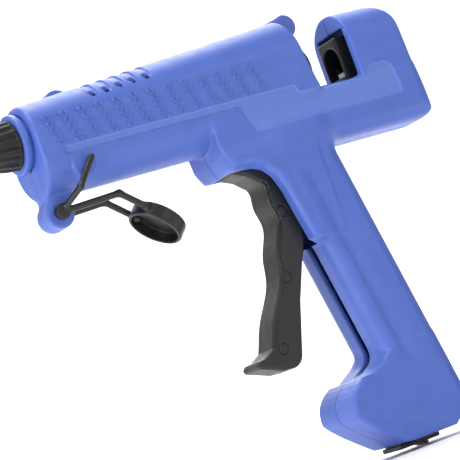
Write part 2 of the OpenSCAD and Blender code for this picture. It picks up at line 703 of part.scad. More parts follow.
module lead(s) {
  tube([[clamp_x - 3, s * 4, block_z + 9], [clamp_x - 4, s * 5, block_z + 18], [clamp_x - 9, s * 9.5,
      block_z + 44],
        [clamp_x - 13, s * 11, block_z + 72], [clamp_x - 14, s * 11.2, -44], [clamp_x - 17, s * 11.2,
            -30],
        [clamp_x - 24, s * 10.6, -20], [clamp_x - 36, s * 9.4, -17.4], [clamp_x - 54, s * 7, -18],
        [heater_x[1] + 9, s * 6, -18], [heater_x[1] + 3, s * 4, heater_top - 2.6],
        [heater_x[1], s * 3.6, heater_top - 1.7]], 1.1, 8);
}
module live_lead() {
  color([0.45, 0.25, 0.15]) from_nose() lead(-1);
}
module neutral_lead() {
  color([0.20, 0.35, 0.75]) from_nose() lead(1);
}
module housing_screws() {
  color([0.62, 0.63, 0.65]) from_nose() {
    for (p = posts) {
      rod_y(screw_r, -body_half + 4, body_half - head_depth, p[0], p[1]);
      rod_y(screw_head_r - 0.1, body_half - head_depth, body_half - head_depth + 2, p[0], p[1]);
    }
    for (l = lugs) rod_y(screw_head_r - 0.1, 4, 5.6, l[0], l[1]);
  }
}
// The cord's route where it isn't coiled, in the part's frame.
cord_r = cord_d / 2;
function relief_tip() = [nozzle_reach + relief_x + (relief_len - 2) * cos(relief_tilt), 0,
                         relief_z - (relief_len - 2) * sin(relief_tilt)];
run_end = floor_z + tie_t + cord_r;
cord_start = relief_tip();
cord_run = [cord_start, cord_start + [8, 0, -1.1], cord_start + [16, 0, -2.2], cord_start + [24, 0, -3.2],
            [hank_x, 0, run_end]];
// The cord's last bend, up from the hank's top layer to the plug's neck.
function tail_point(a) = [hank_x + 32 * sin(a), hank_y + hank_bend - 32 * (1 - cos(a)),
                          plug_at[2] - 1.2 * (1 - a / 35)];
cord_tail = concat([for (a = [0 : 7 : 35]) tail_point(a)], [plug_at + [0.4, -0.3, 0]]);
module racetrack(r) {
  for (x = [0, hank_run]) translate([x, 0]) circle(r = r, $fn = 96);
  translate([0, -r]) square([hank_run, 2 * r]);
}
module cord_tube() {
  color([0.10, 0.10, 0.11]) {
    tube(cord_run, cord_r, 10);
    tube(cord_tail, cord_r, 10);
  }
}
module cord_coil() {
  color([0.10, 0.10, 0.11]) translate([hank_x, hank_y, floor_z + tie_t])
    linear_extrude(hank_layers * cord_d) difference() {
      racetrack(hank_bend + cord_d + cord_r);
      racetrack(hank_bend - cord_r);
    }
}
module coil_tie() {
  y0 = hank_bend - cord_r;
  color([0.16, 0.16, 0.17]) translate([hank_x + 8, hank_y - y0, floor_z]) difference() {
    translate([0, -2 * cord_d - 0.8, 0]) cube([7, 2 * cord_d + 1.6, hank_layers * cord_d + 2 * tie_t]);
    translate([-1, -2 * cord_d, tie_t]) cube([9, 2 * cord_d, hank_layers * cord_d]);
  }
}
// The plug's neck is at its own origin and its pins point along its -X.
module plug_place() {
  translate(plug_at) rotate([0, 0, plug_turn]) translate([-34, 0, 0]) children();
}
module plug_body() {
  color([0.10, 0.10, 0.11]) plug_place() {
    translate([26, 0, 0]) rotate([0, 90, 0]) cylinder(r1 = 5.6, r2 = cord_r + 0.4, h = 8);
    translate([0, 0, -plug_half]) linear_extrude(2 * plug_half)
      polygon([[0, -13], [2, -17.6], [12, -17.6], [26, -7], [26, 7], [12, 17.6], [2, 17.6], [0, 13]]);
  }
}
module plug_pins() {
  color([0.8, 0.8, 0.78]) plug_place() for (s = [-1, 1])
    translate([-19, s * 9.3, 0]) rotate([0, 90, 0]) cylinder(r = 2, h = 19);
}

left_housing();
right_housing();
nose_collar();
nozzle_cover();
nozzle();
melt_chamber();
ptc_heater();
heater_clip();
front_holder();
rear_holder();
inlet_sleeve();
sleeve_clamp();
feed_carriage();
gripper_jaw();
jaw_pin();
carriage_pin();
link_rod();
arm_pin();
trigger();
trigger_pin();
return_spring();
spring_post();
stand();
switch_frame();
switch_body();
rocker();
strain_relief();
inner_cord();
cord_clamp();
clamp_screws();
housing_screws();
terminal_block();
live_lead();
neutral_lead();
cord_tube();
cord_coil();
coil_tie();
plug_body();
plug_pins();
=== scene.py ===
"""Hot-melt glue gun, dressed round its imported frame.

Each operator below makes one piece, or one group of like pieces, from the sizes in its settings.
Shapes are worked out in millimetres from the nose collar, and turned to metres in the frame at the end.
"""

import math

import bpy
import numpy as np
from bpy.props import FloatProperty, FloatVectorProperty, IntProperty, PointerProperty, StringProperty
from mathutils import Matrix


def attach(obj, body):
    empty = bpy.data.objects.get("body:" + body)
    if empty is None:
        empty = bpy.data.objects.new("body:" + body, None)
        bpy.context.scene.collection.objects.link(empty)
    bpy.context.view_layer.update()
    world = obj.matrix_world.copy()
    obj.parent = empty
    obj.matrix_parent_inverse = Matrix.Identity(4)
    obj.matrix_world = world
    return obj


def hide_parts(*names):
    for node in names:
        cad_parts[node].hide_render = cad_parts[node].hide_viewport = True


bl_info = {
    "name": "Glue Gun",
    "version": (1, 0, 0),
    "blender": (4, 5, 0),
    "location": "View3D > Sidebar > Glue Gun",
    "description": "Makes the housing, trigger, stand, switch, cord and finishes of a hot-melt glue gun",
    "category": "Object",
}

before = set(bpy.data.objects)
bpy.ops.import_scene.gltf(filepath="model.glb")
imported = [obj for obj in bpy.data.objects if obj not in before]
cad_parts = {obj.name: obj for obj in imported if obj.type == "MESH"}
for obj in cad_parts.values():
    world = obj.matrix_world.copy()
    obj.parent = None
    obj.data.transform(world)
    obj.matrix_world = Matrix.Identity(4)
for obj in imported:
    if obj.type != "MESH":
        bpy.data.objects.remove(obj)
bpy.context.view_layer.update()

MM = 0.001
# The nose collar stands this far behind the nozzle tip, which is the frame's origin.
NOZZLE_REACH = 28.0
# The cord's hank starts at this X of the frame.
HANK_X = 240.0


# ---- Distance fields: negative inside, in millimetres ----

def soft_join(a, b, k):
    """The union of two solids with a fillet about k wide where they meet."""
    h = np.maximum(k - np.abs(a - b), 0) / k
    return np.minimum(a, b) - h * h * k * 0.25


def soft_cut(a, b, k):
    """Solid a with solid b taken away, the edge eased over about k."""
    h = np.maximum(k - np.abs(a + b), 0) / k
    return np.maximum(a, -b) + h * h * k * 0.25


def soft_keep(a, b, k):
    """What two solids share, its edge eased over about k."""
    h = np.maximum(k - np.abs(a - b), 0) / k
    return np.maximum(a, b) + h * h * k * 0.25


def rounded(a, b, r):
    """What two solids share, with an edge of radius r."""
    return np.minimum(np.maximum(a + r, b + r), 0) + np.hypot(np.maximum(a + r, 0), np.maximum(b + r, 0)) - r


def outline(x, z, points):
    """Distance to a closed outline."""
    far = np.full(np.broadcast(x, z).shape, 1e9, np.float32)
    side = np.ones(far.shape, np.float32)
    for (ax, az), (bx, bz) in zip(points, points[-1:] + points[:-1]):
        if (ax, az) == (bx, bz):
            continue
        ex, ez, wx, wz = bx - ax, bz - az, x - ax, z - az
        t = np.clip((wx * ex + wz * ez) / (ex * ex + ez * ez), 0, 1)
        far = np.minimum(far, (wx - ex * t) ** 2 + (wz - ez * t) ** 2)
        up, down, left = z >= az, z < bz, ex * wz > ez * wx
        side = np.where((up & down & left) | ~(up | down | left), -side, side)
    return side * np.sqrt(far)


def plate(x, y, z, points, half, r):
    """An outline given a thickness of half to each side of the middle plane, its edges rounded by r."""
    return rounded(outline(x, z, points), np.abs(y) - half, r)


def disc(x, y, z, at, radius, y0, y1, r=0.4):
    """A disc across the gun at (x, z), from y0 to y1."""
    return rounded(np.hypot(x - at[0], z - at[1]) - radius, np.abs(y - (y0 + y1) / 2) - (y1 - y0) / 2, r)


def box(x, y, z, lo, hi, r=0.4):
    q = [np.abs(v - (a + b) / 2) - (b - a) / 2 + r for v, a, b in zip((x, y, z), lo, hi)]
    out = np.sqrt(sum(np.maximum(v, 0) ** 2 for v in q))
    return out + np.minimum(np.maximum(np.maximum(q[0], q[1]), q[2]), 0) - r


def strut(x, y, z, a, b, r):
    """A round bar from a to b."""
    ab = [q - p for p, q in zip(a, b)]
    ap = [v - p for v, p in zip((x, y, z), a)]
    t = np.clip(sum(u * v for u, v in zip(ap, ab)) / sum(u * u for u in ab), 0, 1)
    return np.sqrt(sum((u - v * t) ** 2 for u, v in zip(ap, ab))) - r


def bend(a, b, c, n=10):
    """Points on a smooth bend from a to c, pulled towards b."""
    ts = [i / n for i in range(n + 1)]
    return [tuple(p * (1 - t) ** 2 + q * 2 * t * (1 - t) + s * t * t for p, q, s in zip(a, b, c)) for t in ts]


def arc(at, r, a0, a1, n=8):
    turns = [math.radians(a0 + (a1 - a0) * i / n) for i in range(n + 1)]
    return [(at[0] + r * math.cos(a), at[1] + r * math.sin(a)) for a in turns]


def ramp(v, width):
    """0 to 1 as v goes from -width to +width, eased at both ends."""
    t = np.clip(v / (2 * width) + 0.5, 0, 1)
    return t * t * (3 - 2 * t)


# ---- From a distance field to a mesh ----

def cell_edges():
    """The twelve edges of a unit cell, as pairs of corners."""
    edges = []
    for axis in range(3):
        first, second = [k for k in range(3) if k != axis]
        for j in (0, 1):
            for i in (0, 1):
                a = [0, 0, 0]
                a[first], a[second] = i, j
                b = list(a)
                b[axis] = 1
                edges.append((tuple(a), tuple(b)))
    return edges


EDGES = cell_edges()


def skin(field, lo, hi, step):
    """Vertices, quads and outward directions of a field's surface in a box."""
    axes = [np.arange(a - step * 1.5, b + step * 2.5, step, dtype=np.float32) for a, b in zip(lo, hi)]
    x, y, z = axes[0][:, None, None], axes[1][None, :, None], axes[2][None, None, :]
    d = np.ascontiguousarray(np.broadcast_to(field(x, y, z), [len(a) for a in axes])).astype(np.float32)
    inside = d < 0
    n = [s - 1 for s in d.shape]

    def corner(a, of):
        return of[a[0]:a[0] + n[0], a[1]:a[1] + n[1], a[2]:a[2] + n[2]]

    held = sum(corner((i, j, k), inside).astype(np.int8) for i in (0, 1) for j in (0, 1) for k in (0, 1))
    mixed = (held > 0) & (held < 8)
    cells = np.argwhere(mixed)
    index = np.full(mixed.shape, -1, np.int64)
    index[mixed] = np.arange(len(cells))
    total, count = np.zeros((len(cells), 3)), np.zeros(len(cells))
    for a, b in EDGES:
        da = d[tuple((cells + a).T)].astype(float)
        db = d[tuple((cells + b).T)].astype(float)
        cross = (da < 0) != (db < 0)
        t = np.where(cross, da / np.where(cross, da - db, 1), 0)[:, None]
        total += np.where(cross[:, None], np.array(a) * (1 - t) + np.array(b) * t, 0)
        count += cross
    points = (cells + total / count[:, None]) * step + [a[0] for a in axes]

    def slope(p):
        e = step * 0.2
        g = np.stack([field(*(p + e * u).T) - field(*(p - e * u).T) for u in np.eye(3)], 1) / (2 * e)
        return g

    for _ in range(2):
        g = slope(points)
        away = field(*points.T) / np.maximum((g * g).sum(1), 0.2)
        points = points - np.clip(away, -0.4 * step, 0.4 * step)[:, None] * g
    out = slope(points)
    out /= np.maximum(np.linalg.norm(out, axis=1), 1e-6)[:, None]
    quads = []
    for axis in range(3):
        u, v = (axis + 1) % 3, (axis + 2) % 3
        first = np.take(inside, range(0, inside.shape[axis] - 1), axis)
        second = np.take(inside, range(1, inside.shape[axis]), axis)
        at = np.argwhere(first != second)
        at = at[(at[:, u] > 0) & (at[:, v] > 0) & (at[:, u] < n[u]) & (at[:, v] < n[v])]
        ring = []
        for du, dv in ((-1, -1), (0, -1), (0, 0), (-1, 0)):
            c = at.copy()
            c[:, u] += du
            c[:, v] += dv
            ring.append(index[tuple(c.T)])
        q = np.stack(ring, 1)
        flip = ~first[tuple(at.T)]
        q[flip] = q[flip][:, ::-1]
        quads.append(q)
    return points, np.concatenate(quads), out


def show(piece):
    """Puts an object in the scene."""
    bpy.context.scene.collection.objects.link(piece)
    return piece


def moved(points):
    """From nose-collar millimetres to metres in the frame."""
    return (np.asarray(points, float) + [NOZZLE_REACH, 0, 0]) * MM


def to_object(name, points, faces, body, material, replaces=(), directions=None, smooth=True):
    """Makes an object of vertices in metres, lets it ride on its body and gives it its finish."""
    mesh = bpy.data.meshes.new(name)
    mesh.from_pydata(np.asarray(points).tolist(), [], [list(f) for f in np.asarray(faces).tolist()]
                     if isinstance(faces, np.ndarray) else faces)
    mesh.polygons.foreach_set("use_smooth", [smooth] * len(mesh.polygons))
    if directions is not None:
        mesh.normals_split_custom_set_from_vertices(directions.tolist())
    mesh.materials.append(material)
    piece = show(bpy.data.objects.new(name, mesh))
    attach(piece, body)
    if replaces:
        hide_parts(*replaces)
    return piece


def solid(name, field, lo, hi, step, body, material, replaces=(), extra=None):
    """A piece made from its distance field, with any extra mesh islands added."""
    points, faces, out = skin(field, lo, hi, step)
    if extra is not None:
        more, more_faces, more_out = extra
        faces = np.concatenate([faces, more_faces + len(points)])
        points, out = np.concatenate([points, more]), np.concatenate([out, more_out])
    return to_object(name, moved(points), faces, body, material, replaces, out)


# ---- Finishes ----

def linear(text):
    """An sRGB hex colour as linear RGBA."""
    channels = [int(text[i:i + 2], 16) / 255 for i in (0, 2, 4)]
    return [c / 12.92 if c <= 0.04045 else ((c + 0.055) / 1.055) ** 2.4 for c in channels] + [1.0]


def add(tree, kind, links=None, **settings):
    """Adds a node, sets its settings, and links or sets its inputs."""
    made = tree.nodes.new(kind)
    for key, value in settings.items():
        setattr(made, key, value)
    for key, value in (links or {}).items():
        if isinstance(value, bpy.types.NodeSocket):
            tree.links.new(value, made.inputs[key])
        else:
            made.inputs[key].default_value = value
    return made


def start(name):
    """A new material, its node tree, its shader and the surface position in millimetres."""
    made = bpy.data.materials.new(name)
    made.use_nodes = True
    tree = made.node_tree
    shader = tree.nodes["Principled BSDF"]
    place = add(tree, "ShaderNodeTexCoord").outputs["Object"]
    mm = add(tree, "ShaderNodeVectorMath", {0: place, 1: (1000, 1000, 1000)}, operation="MULTIPLY").outputs[0]
    return made, tree, shader, mm


def tinted(tree, mm, low, high, grain_mm, detail=3.0):
    """A colour that wanders between two shades over patches of grain_mm."""
    patch = add(tree, "ShaderNodeTexNoise", {"Vector": mm, "Scale": 1 / grain_mm, "Detail": detail})
    mix = add(tree, "ShaderNodeMix", {0: patch.outputs["Fac"], 6: linear(low), 7: linear(high)}, data_type="RGBA")
    return mix.outputs[2]


def spread(tree, mm, low, high, grain_mm):
    """A value that wanders between low and high over patches of grain_mm."""
    patch = add(tree, "ShaderNodeTexNoise", {"Vector": mm, "Scale": 1 / grain_mm, "Detail": 2.0})
    return add(tree, "ShaderNodeMapRange", {"Value": patch.outputs["Fac"], "From Min": 0.3, "From Max": 0.7,
                                            "To Min": low, "To Max": high}).outputs[0]


def spark_eroded_abs(name, low, high, painted_sheen, grain_mm=0.55, depth_mm=0.035, rough=(0.42, 0.52)):
    """ABS moulded in a spark-eroded tool: a fine, even pebble that breaks highlights into a satin sheen.
    Its grain is about 0.3 mm and is drawn at 0.55 mm so that it shows."""
    made, tree, shader, mm = start(name)
    pebble = add(tree, "ShaderNodeTexNoise", {"Vector": mm, "Scale": 1 / grain_mm, "Detail": 4.0, "Roughness": 0.6})
    # Mask of the label panel: there the pebble is eased for its polish, and a paler colour is painted as its sheen.
    polish_and_sheen = add(tree, "ShaderNodeAttribute", attribute_name="polish_and_sheen").outputs["Fac"]
    keep = add(tree, "ShaderNodeMath", {0: 1.0, 1: polish_and_sheen}, operation="SUBTRACT").outputs[0]
    strength = add(tree, "ShaderNodeMath", {0: keep, 1: 0.8}, operation="MULTIPLY").outputs[0]
    bump = add(tree, "ShaderNodeBump", {"Height": pebble.outputs["Fac"], "Strength": strength,
                                        "Distance": depth_mm * MM})
    tree.links.new(bump.outputs[0], shader.inputs["Normal"])
    # Painted sheen: the label panel gets a paler colour where its polish would catch the light.
    shade = add(tree, "ShaderNodeMix", {0: polish_and_sheen, 6: tinted(tree, mm, low, high, 9.0), 7: linear(painted_sheen)},
                data_type="RGBA").outputs[2]
    tree.links.new(shade, shader.inputs["Base Color"])
    tree.links.new(spread(tree, mm, rough[0], rough[1], 4.0), shader.inputs["Roughness"])
    shader.inputs["IOR"].default_value = 1.5
    return made


def moulded(name, low, high, grain_mm, depth_mm, rough, ior=1.5, sheen=0.0, coat=0.0):
    """A moulded polymer: patches of slightly different shade, a fine skin and uneven gloss."""
    made, tree, shader, mm = start(name)
    fine = add(tree, "ShaderNodeTexNoise", {"Vector": mm, "Scale": 1 / grain_mm, "Detail": 4.0, "Roughness": 0.6})
    bump = add(tree, "ShaderNodeBump", {"Height": fine.outputs["Fac"], "Strength": 0.8, "Distance": depth_mm * MM})
    tree.links.new(bump.outputs[0], shader.inputs["Normal"])
    tree.links.new(tinted(tree, mm, low, high, 6.0), shader.inputs["Base Color"])
    tree.links.new(spread(tree, mm, rough[0], rough[1], 3.0), shader.inputs["Roughness"])
    shader.inputs["IOR"].default_value = ior
    shader.inputs["Sheen Weight"].default_value = sheen
    shader.inputs["Coat Weight"].default_value = coat
    return made


def worked_metal(name, low, high, along, rough, depth_mm=0.01):
    """A worked metal: scratches drawn out along one direction, and patches of duller surface."""
    made, tree, shader, mm = start(name)
    shader.inputs["Metallic"].default_value = 1.0
    pulled = add(tree, "ShaderNodeVectorMath", {0: mm, 1: along}, operation="MULTIPLY").outputs[0]
    line = add(tree, "ShaderNodeTexNoise", {"Vector": pulled, "Scale": 3.0, "Detail": 5.0})
    bump = add(tree, "ShaderNodeBump", {"Height": line.outputs["Fac"], "Strength": 0.7, "Distance": depth_mm * MM})
    tree.links.new(bump.outputs[0], shader.inputs["Normal"])
    tree.links.new(tinted(tree, mm, low, high, 2.5), shader.inputs["Base Color"])
    tree.links.new(spread(tree, mm, rough[0], rough[1], 1.5), shader.inputs["Roughness"])
    return made


FINISHES = {}


def finishes():
    """Every finish on the gun, made once and named for the real material."""
    if FINISHES:
        return FINISHES
    f = FINISHES
    s = bpy.context.scene.gun_housing
    # ABS housing: periwinkle, satin, with the mould's fine pebble, and a paler painted sheen on the label panel.
    f["housing"] = spark_eroded_abs("periwinkle_abs_spark_eroded", s.shade, s.colour, s.painted_sheen)
    # Nylon, moulded in a vapour-blasted tool: soft grey highlights on near-black.
    f["nylon"] = moulded("black_nylon_vapour_blasted", "0D0E10", "141518", 0.45, 0.02, (0.38, 0.5), 1.53)
    # Glass-filled nylon for the trigger: a slightly lighter, drier black.
    f["trigger"] = moulded("charcoal_nylon_glass_filled", "101112", "19191A", 0.5, 0.03, (0.42, 0.55), 1.53)
    # Silicone rubber, moulded: deep matte black with a faint bloom.
    f["silicone"] = moulded("black_silicone_moulded", "0E0F11", "16171A", 0.5, 0.02, (0.42, 0.54), 1.43, sheen=0.05)
    # Plasticised PVC, extruded: even black with a low waxy gloss.
    f["pvc"] = moulded("black_pvc_extruded", "101113", "18191C", 0.7, 0.02, (0.36, 0.48), 1.53)
    # Polycarbonate rocker, polished tool: deep red with a clear gloss.
    f["rocker"] = moulded("red_polycarbonate_polished", "8C1512", "A51D17", 2.0, 0.004, (0.12, 0.2), 1.58, coat=0.3)
    # Turned brass: fine rings round the axis, warm and slightly dulled by heat.
    f["brass"] = worked_metal("brass_turned", "A5823F", "C9A45A", (9.0, 0.6, 0.6), (0.28, 0.42))
    # Die-cast aluminium: pale grey, frosty and a little mottled.
    f["aluminium"] = worked_metal("aluminium_die_cast", "A9ABAE", "C4C6C9", (1.5, 1.5, 1.5), (0.4, 0.55), 0.03)
    # Cold-drawn steel pins and springs: bright with marks along the draw.
    f["steel"] = worked_metal("steel_cold_drawn", "9A9CA0", "BCBEC2", (2.0, 0.3, 2.0), (0.25, 0.38))
    # Zinc-plated screws: cool and bright, faintly clouded.
    f["zinc"] = worked_metal("steel_zinc_plated", "A8ACB2", "C9CDD2", (1.2, 1.2, 1.2), (0.22, 0.36))
    # Nickel-plated plug pins: warm white metal with slide marks along the pin.
    f["nickel"] = worked_metal("brass_nickel_plated", "B5B2AA", "D0CDC6", (0.3, 3.0, 3.0), (0.18, 0.3))
    # Sintered ceramic heater: chalky cream with fine pores.
    f["ceramic"] = moulded("ceramic_sintered", "D2C9B0", "E2DBC6", 0.4, 0.03, (0.6, 0.75), 1.6)
    # Phenolic board holders: dark brown and dull.
    f["phenolic"] = moulded("phenolic_compression_moulded", "33211A", "432C22", 0.6, 0.02, (0.45, 0.6), 1.6)
    # Polyamide terminal block: off-white and slightly translucent to the eye.
    f["terminal"] = moulded("polyamide_natural_moulded", "D5D4CC", "E3E2DB", 0.5, 0.02, (0.4, 0.5), 1.53)
    # PVC lead insulation, brown for live and blue for neutral.
    f["brown"] = moulded("brown_pvc_extruded", "553321", "633C28", 0.6, 0.02, (0.38, 0.5), 1.53)
    f["blue"] = moulded("blue_pvc_extruded", "2C55A8", "3562BC", 0.6, 0.02, (0.38, 0.5), 1.53)
    return f


def wear(node, finish):
    """Gives a carried-over frame node its finish."""
    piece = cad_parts[node]
    piece.data.materials.clear()
    piece.data.materials.append(finishes()[finish])


# ---- Settings ----

class GunHousingSettings(bpy.types.PropertyGroup):
    half_width: FloatProperty(name="Half width", description="Half the housing's width across the gun, mm",
                              default=15.5, min=14, max=18)
    wall: FloatProperty(name="Wall", description="Wall thickness of the housing, mm", default=2.4, min=1.6, max=3.2)
    seam: FloatProperty(name="Seam", description="Easing of the edge where the two halves meet, mm",
                        default=0.5, min=0.1, max=1.0)
    step: FloatProperty(name="Mesh step", description="Size of the mesh's cells, mm", default=0.7, min=0.4, max=2)
    dot_rows: IntProperty(name="Dot rows", description="Rows of grip dots on each side", default=5, min=1, max=8)
    dot_radius: FloatProperty(name="Dot radius", description="Radius of a grip dot, mm",
                              default=0.82, min=0.4, max=1.4)
    colour: StringProperty(name="Colour", description="Main shade of the ABS as sRGB hex", default="506CC2")
    shade: StringProperty(name="Shade", description="Darker shade that the ABS wanders to, sRGB hex",
                          default="465FB2")
    # A paler colour painted on the label panel as its sheen, standing in for the light that its polish catches.
    painted_sheen: StringProperty(name="Polished", description="Paler look of the polished label panel, sRGB hex",
                             default="5B76C4")


class GunGripSettings(bpy.types.PropertyGroup):
    trigger_half: FloatProperty(name="Trigger half width", description="Half the trigger's width, mm",
                                default=7.5, min=6, max=9)
    finger_depth: FloatProperty(name="Finger depth", description="Depth of the finger grooves, mm",
                                default=0.9, min=0, max=2)
    stand_bar: FloatProperty(name="Stand bar", description="Thickness of the stand's bars, mm",
                             default=2.8, min=2, max=4)


class GunCordSettings(bpy.types.PropertyGroup):
    diameter: FloatProperty(name="Diameter", description="Outside diameter of the mains cord, mm",
                            default=6.8, min=5, max=9)
    run: FloatProperty(name="Run", description="Length of the hank's straight runs, mm", default=50, min=30, max=60)
    bend: FloatProperty(name="Bend", description="Bend radius of the hank's inner turns, mm",
                        default=20.4, min=18, max=26)
    per_turn: IntProperty(name="Points", description="Points in each turn of the hank", default=44, min=16, max=96)


class GunStageSettings(bpy.types.PropertyGroup):
    azimuth: FloatProperty(name="Azimuth", description="Camera's turn about the gun, degrees", default=-30.0)
    elevation: FloatProperty(name="Elevation", description="Camera's height angle, degrees", default=-5.0)
    roll: FloatProperty(name="Roll", description="Camera's roll, degrees", default=19.8)
    distance: FloatProperty(name="Distance", description="From the nose collar to the camera, mm", default=800.4)
    floor: FloatProperty(name="Floor", description="Height of the floor in the frame, mm", default=-170.0)
    paper: FloatVectorProperty(name="Paper", description="Colour of the floor and backdrop, linear",
                               subtype="COLOR", default=(0.93, 0.93, 0.93), min=0, max=1)


# ---- Stage ----

def standing(right, up, back, at):
    """The matrix of something that stands at a point, along three given axes."""
    return Matrix([[right[i], up[i], back[i], at[i]] for i in range(3)] + [[0, 0, 0, 1]])


class GUN_OT_stage(bpy.types.Operator):
    """Sets the camera, the floor, the backdrop and the studio lights"""
    bl_idname = "gluegun.stage"
    bl_label = "Stage"

    def execute(self, context):
        s = context.scene.gun_stage
        a, e, r = (math.radians(v) for v in (s.azimuth, s.elevation, s.roll))
        back = np.array([math.sin(a) * math.cos(e), -math.cos(a) * math.cos(e), math.sin(e)])
        right = np.array([math.cos(a), math.sin(a), 0.0])
        up = np.cross(back, right)
        across = right * math.cos(r) - up * math.sin(r)
        upward = right * math.sin(r) + up * math.cos(r)
        # The nose collar stands this far left of and above the middle of the view, as slopes.
        left, above = 0.1073, 0.04225
        spot = np.array([NOZZLE_REACH, 0, 0]) + s.distance * (back + left * across - above * upward)
        camera = bpy.data.objects.new("camera", bpy.data.cameras.new("camera"))
        camera.data.lens = 156.52
        camera.data.sensor_width = 36
        camera.data.clip_start = 0.05
        camera.data.clip_end = 50
        camera.matrix_world = standing(across, upward, back, spot * MM)
        show(camera)
        context.scene.camera = camera

        paper, _, shader, _ = start("matt_paper_sweep")
        shader.inputs["Base Color"].default_value = (*s.paper, 1)
        shader.inputs["Roughness"].default_value = 0.9
        z = s.floor * MM
        profile = [(-6.0, z), (2.2, z)] + [(2.2 + 1.2 * math.sin(t), z + 1.2 - 1.2 * math.cos(t))
                                           for t in np.linspace(0.1, math.pi / 2, 14)] + [(3.4, 6.0)]
        points = [(x, y, h) for y, h in profile for x in (-7.0, 7.0)]
        faces = [(2 * i, 2 * i + 1, 2 * i + 3, 2 * i + 2) for i in range(len(profile) - 1)]
        mesh = bpy.data.meshes.new("paper_sweep")
        mesh.from_pydata(points, [], faces)
        mesh.polygons.foreach_set("use_smooth", [True] * len(faces))
        mesh.materials.append(paper)
        show(bpy.data.objects.new("paper_sweep", mesh))

        world = bpy.data.worlds.new("studio")
        world.use_nodes = True
        world.node_tree.nodes["Background"].inputs[0].default_value = (1, 1, 1, 1)
        world.node_tree.nodes["Background"].inputs[1].default_value = 0.3
        context.scene.world = world
        for name, at, aim, size, power in (
                ("key", (-0.25, -0.2, 1.15), (0.1, 0, -0.03), 0.4, 11),
                ("front", (-0.95, -0.35, -0.02), (0.12, 0, -0.1), 0.4, 7),
                ("side", (0.75, -1.15, 0.5), (0.14, 0, -0.06), 0.5, 3.2),
                ("rim", (0.7, 0.75, 0.5), (0.14, 0, -0.05), 0.7, 5),
                ("sweep", (0.9, 0.9, 1.2), (1.3, 3.2, 0.3), 1.6, 95),
                ("floor", (0.5, 0.6, 1.2), (0.5, 0.9, -0.17), 1.0, 18)):
            lamp = bpy.data.lights.new(name, "AREA")
            lamp.size = size
            lamp.energy = power
            light = show(bpy.data.objects.new(name, lamp))
            z_axis = np.array(at, float) - aim
            z_axis /= np.linalg.norm(z_axis)
            x_axis = np.cross((0, 0, 1), z_axis)
            x_axis /= np.linalg.norm(x_axis)
            y_axis = np.cross(z_axis, x_axis)
            light.matrix_world = standing(x_axis, y_axis, z_axis, at)
        context.scene.view_settings.view_transform = "Standard"
        return {"FINISHED"}


# ---- Cord ----

def eased(table, u):
    """A value that eases from one (place, value) of a table to the next."""
    for (u0, v0), (u1, v1) in zip(table, table[1:]):
        if u <= u1:
            t = (u - u0) / (u1 - u0)
            return v0 + (v1 - v0) * t * t * (3 - 2 * t)
    return table[-1][1]


def cord_route(c, floor):
    """The cord's middle line in frame millimetres: a run, a hank of five turns, and a bend up to the plug."""
    low = floor + 0.4 + c.diameter / 2
    run = [(210.04, -162.58), (216.06, -163.4), (224.06, -164.5), (232.06, -165.5), (HANK_X, low)]
    xs, zs = [p[0] for p in run], [p[1] for p in run]
    route = [(x, 0.0, float(np.interp(x, xs, zs))) for x in np.linspace(xs[0], xs[-1], 16)[:-1]]
    inner, outer = c.bend, c.bend + c.diameter
    middle = -outer
    radii = [(0, outer), (0.75, outer), (0.9, inner), (2.375, inner), (2.5, outer), (4.0, outer), (4.25, inner),
             (9, inner)]
    step = c.diameter
    top = floor + 0.4 + 3 * c.diameter + 6.85
    heights = [(0, low), (1.5, low), (1.75, low + step), (3.25, low + step), (3.375, low + 2 * step),
               (4.7, low + 2 * step), (5.0, top - 1.2), (9, top - 1.2)]
    count = 5 * c.per_turn
    for i in range(count + 1):
        u = 5.0 * i / count
        part = (u % 1.0) * 4 if i < count else 0.0
        r, z = eased(radii, u), eased(heights, u)
        quarter, t = int(part), part - int(part)
        if quarter == 0:
            x, y = c.run * t, r
        elif quarter == 1:
            x, y = c.run + r * math.sin(math.pi * t), r * math.cos(math.pi * t)
        elif quarter == 2:
            x, y = c.run * (1 - t), -r
        else:
            x, y = -r * math.sin(math.pi * t), -r * math.cos(math.pi * t)
        route.append((HANK_X + x, middle + y, z))
    for a in np.radians(np.linspace(0, 35, 12)[1:]):
        climb = 1.2 * a / math.radians(35)
        route.append((HANK_X + 32 * math.sin(a), middle + inner - 32 * (1 - math.cos(a)), top - 1.2 + climb))
    route.append((HANK_X + 21.0, middle + 12.7, top))
    line = np.array(route)
    for _ in range(2):
        line[1:-1] = line[1:-1] * 0.5 + (line[:-2] + line[2:]) * 0.25
    return line


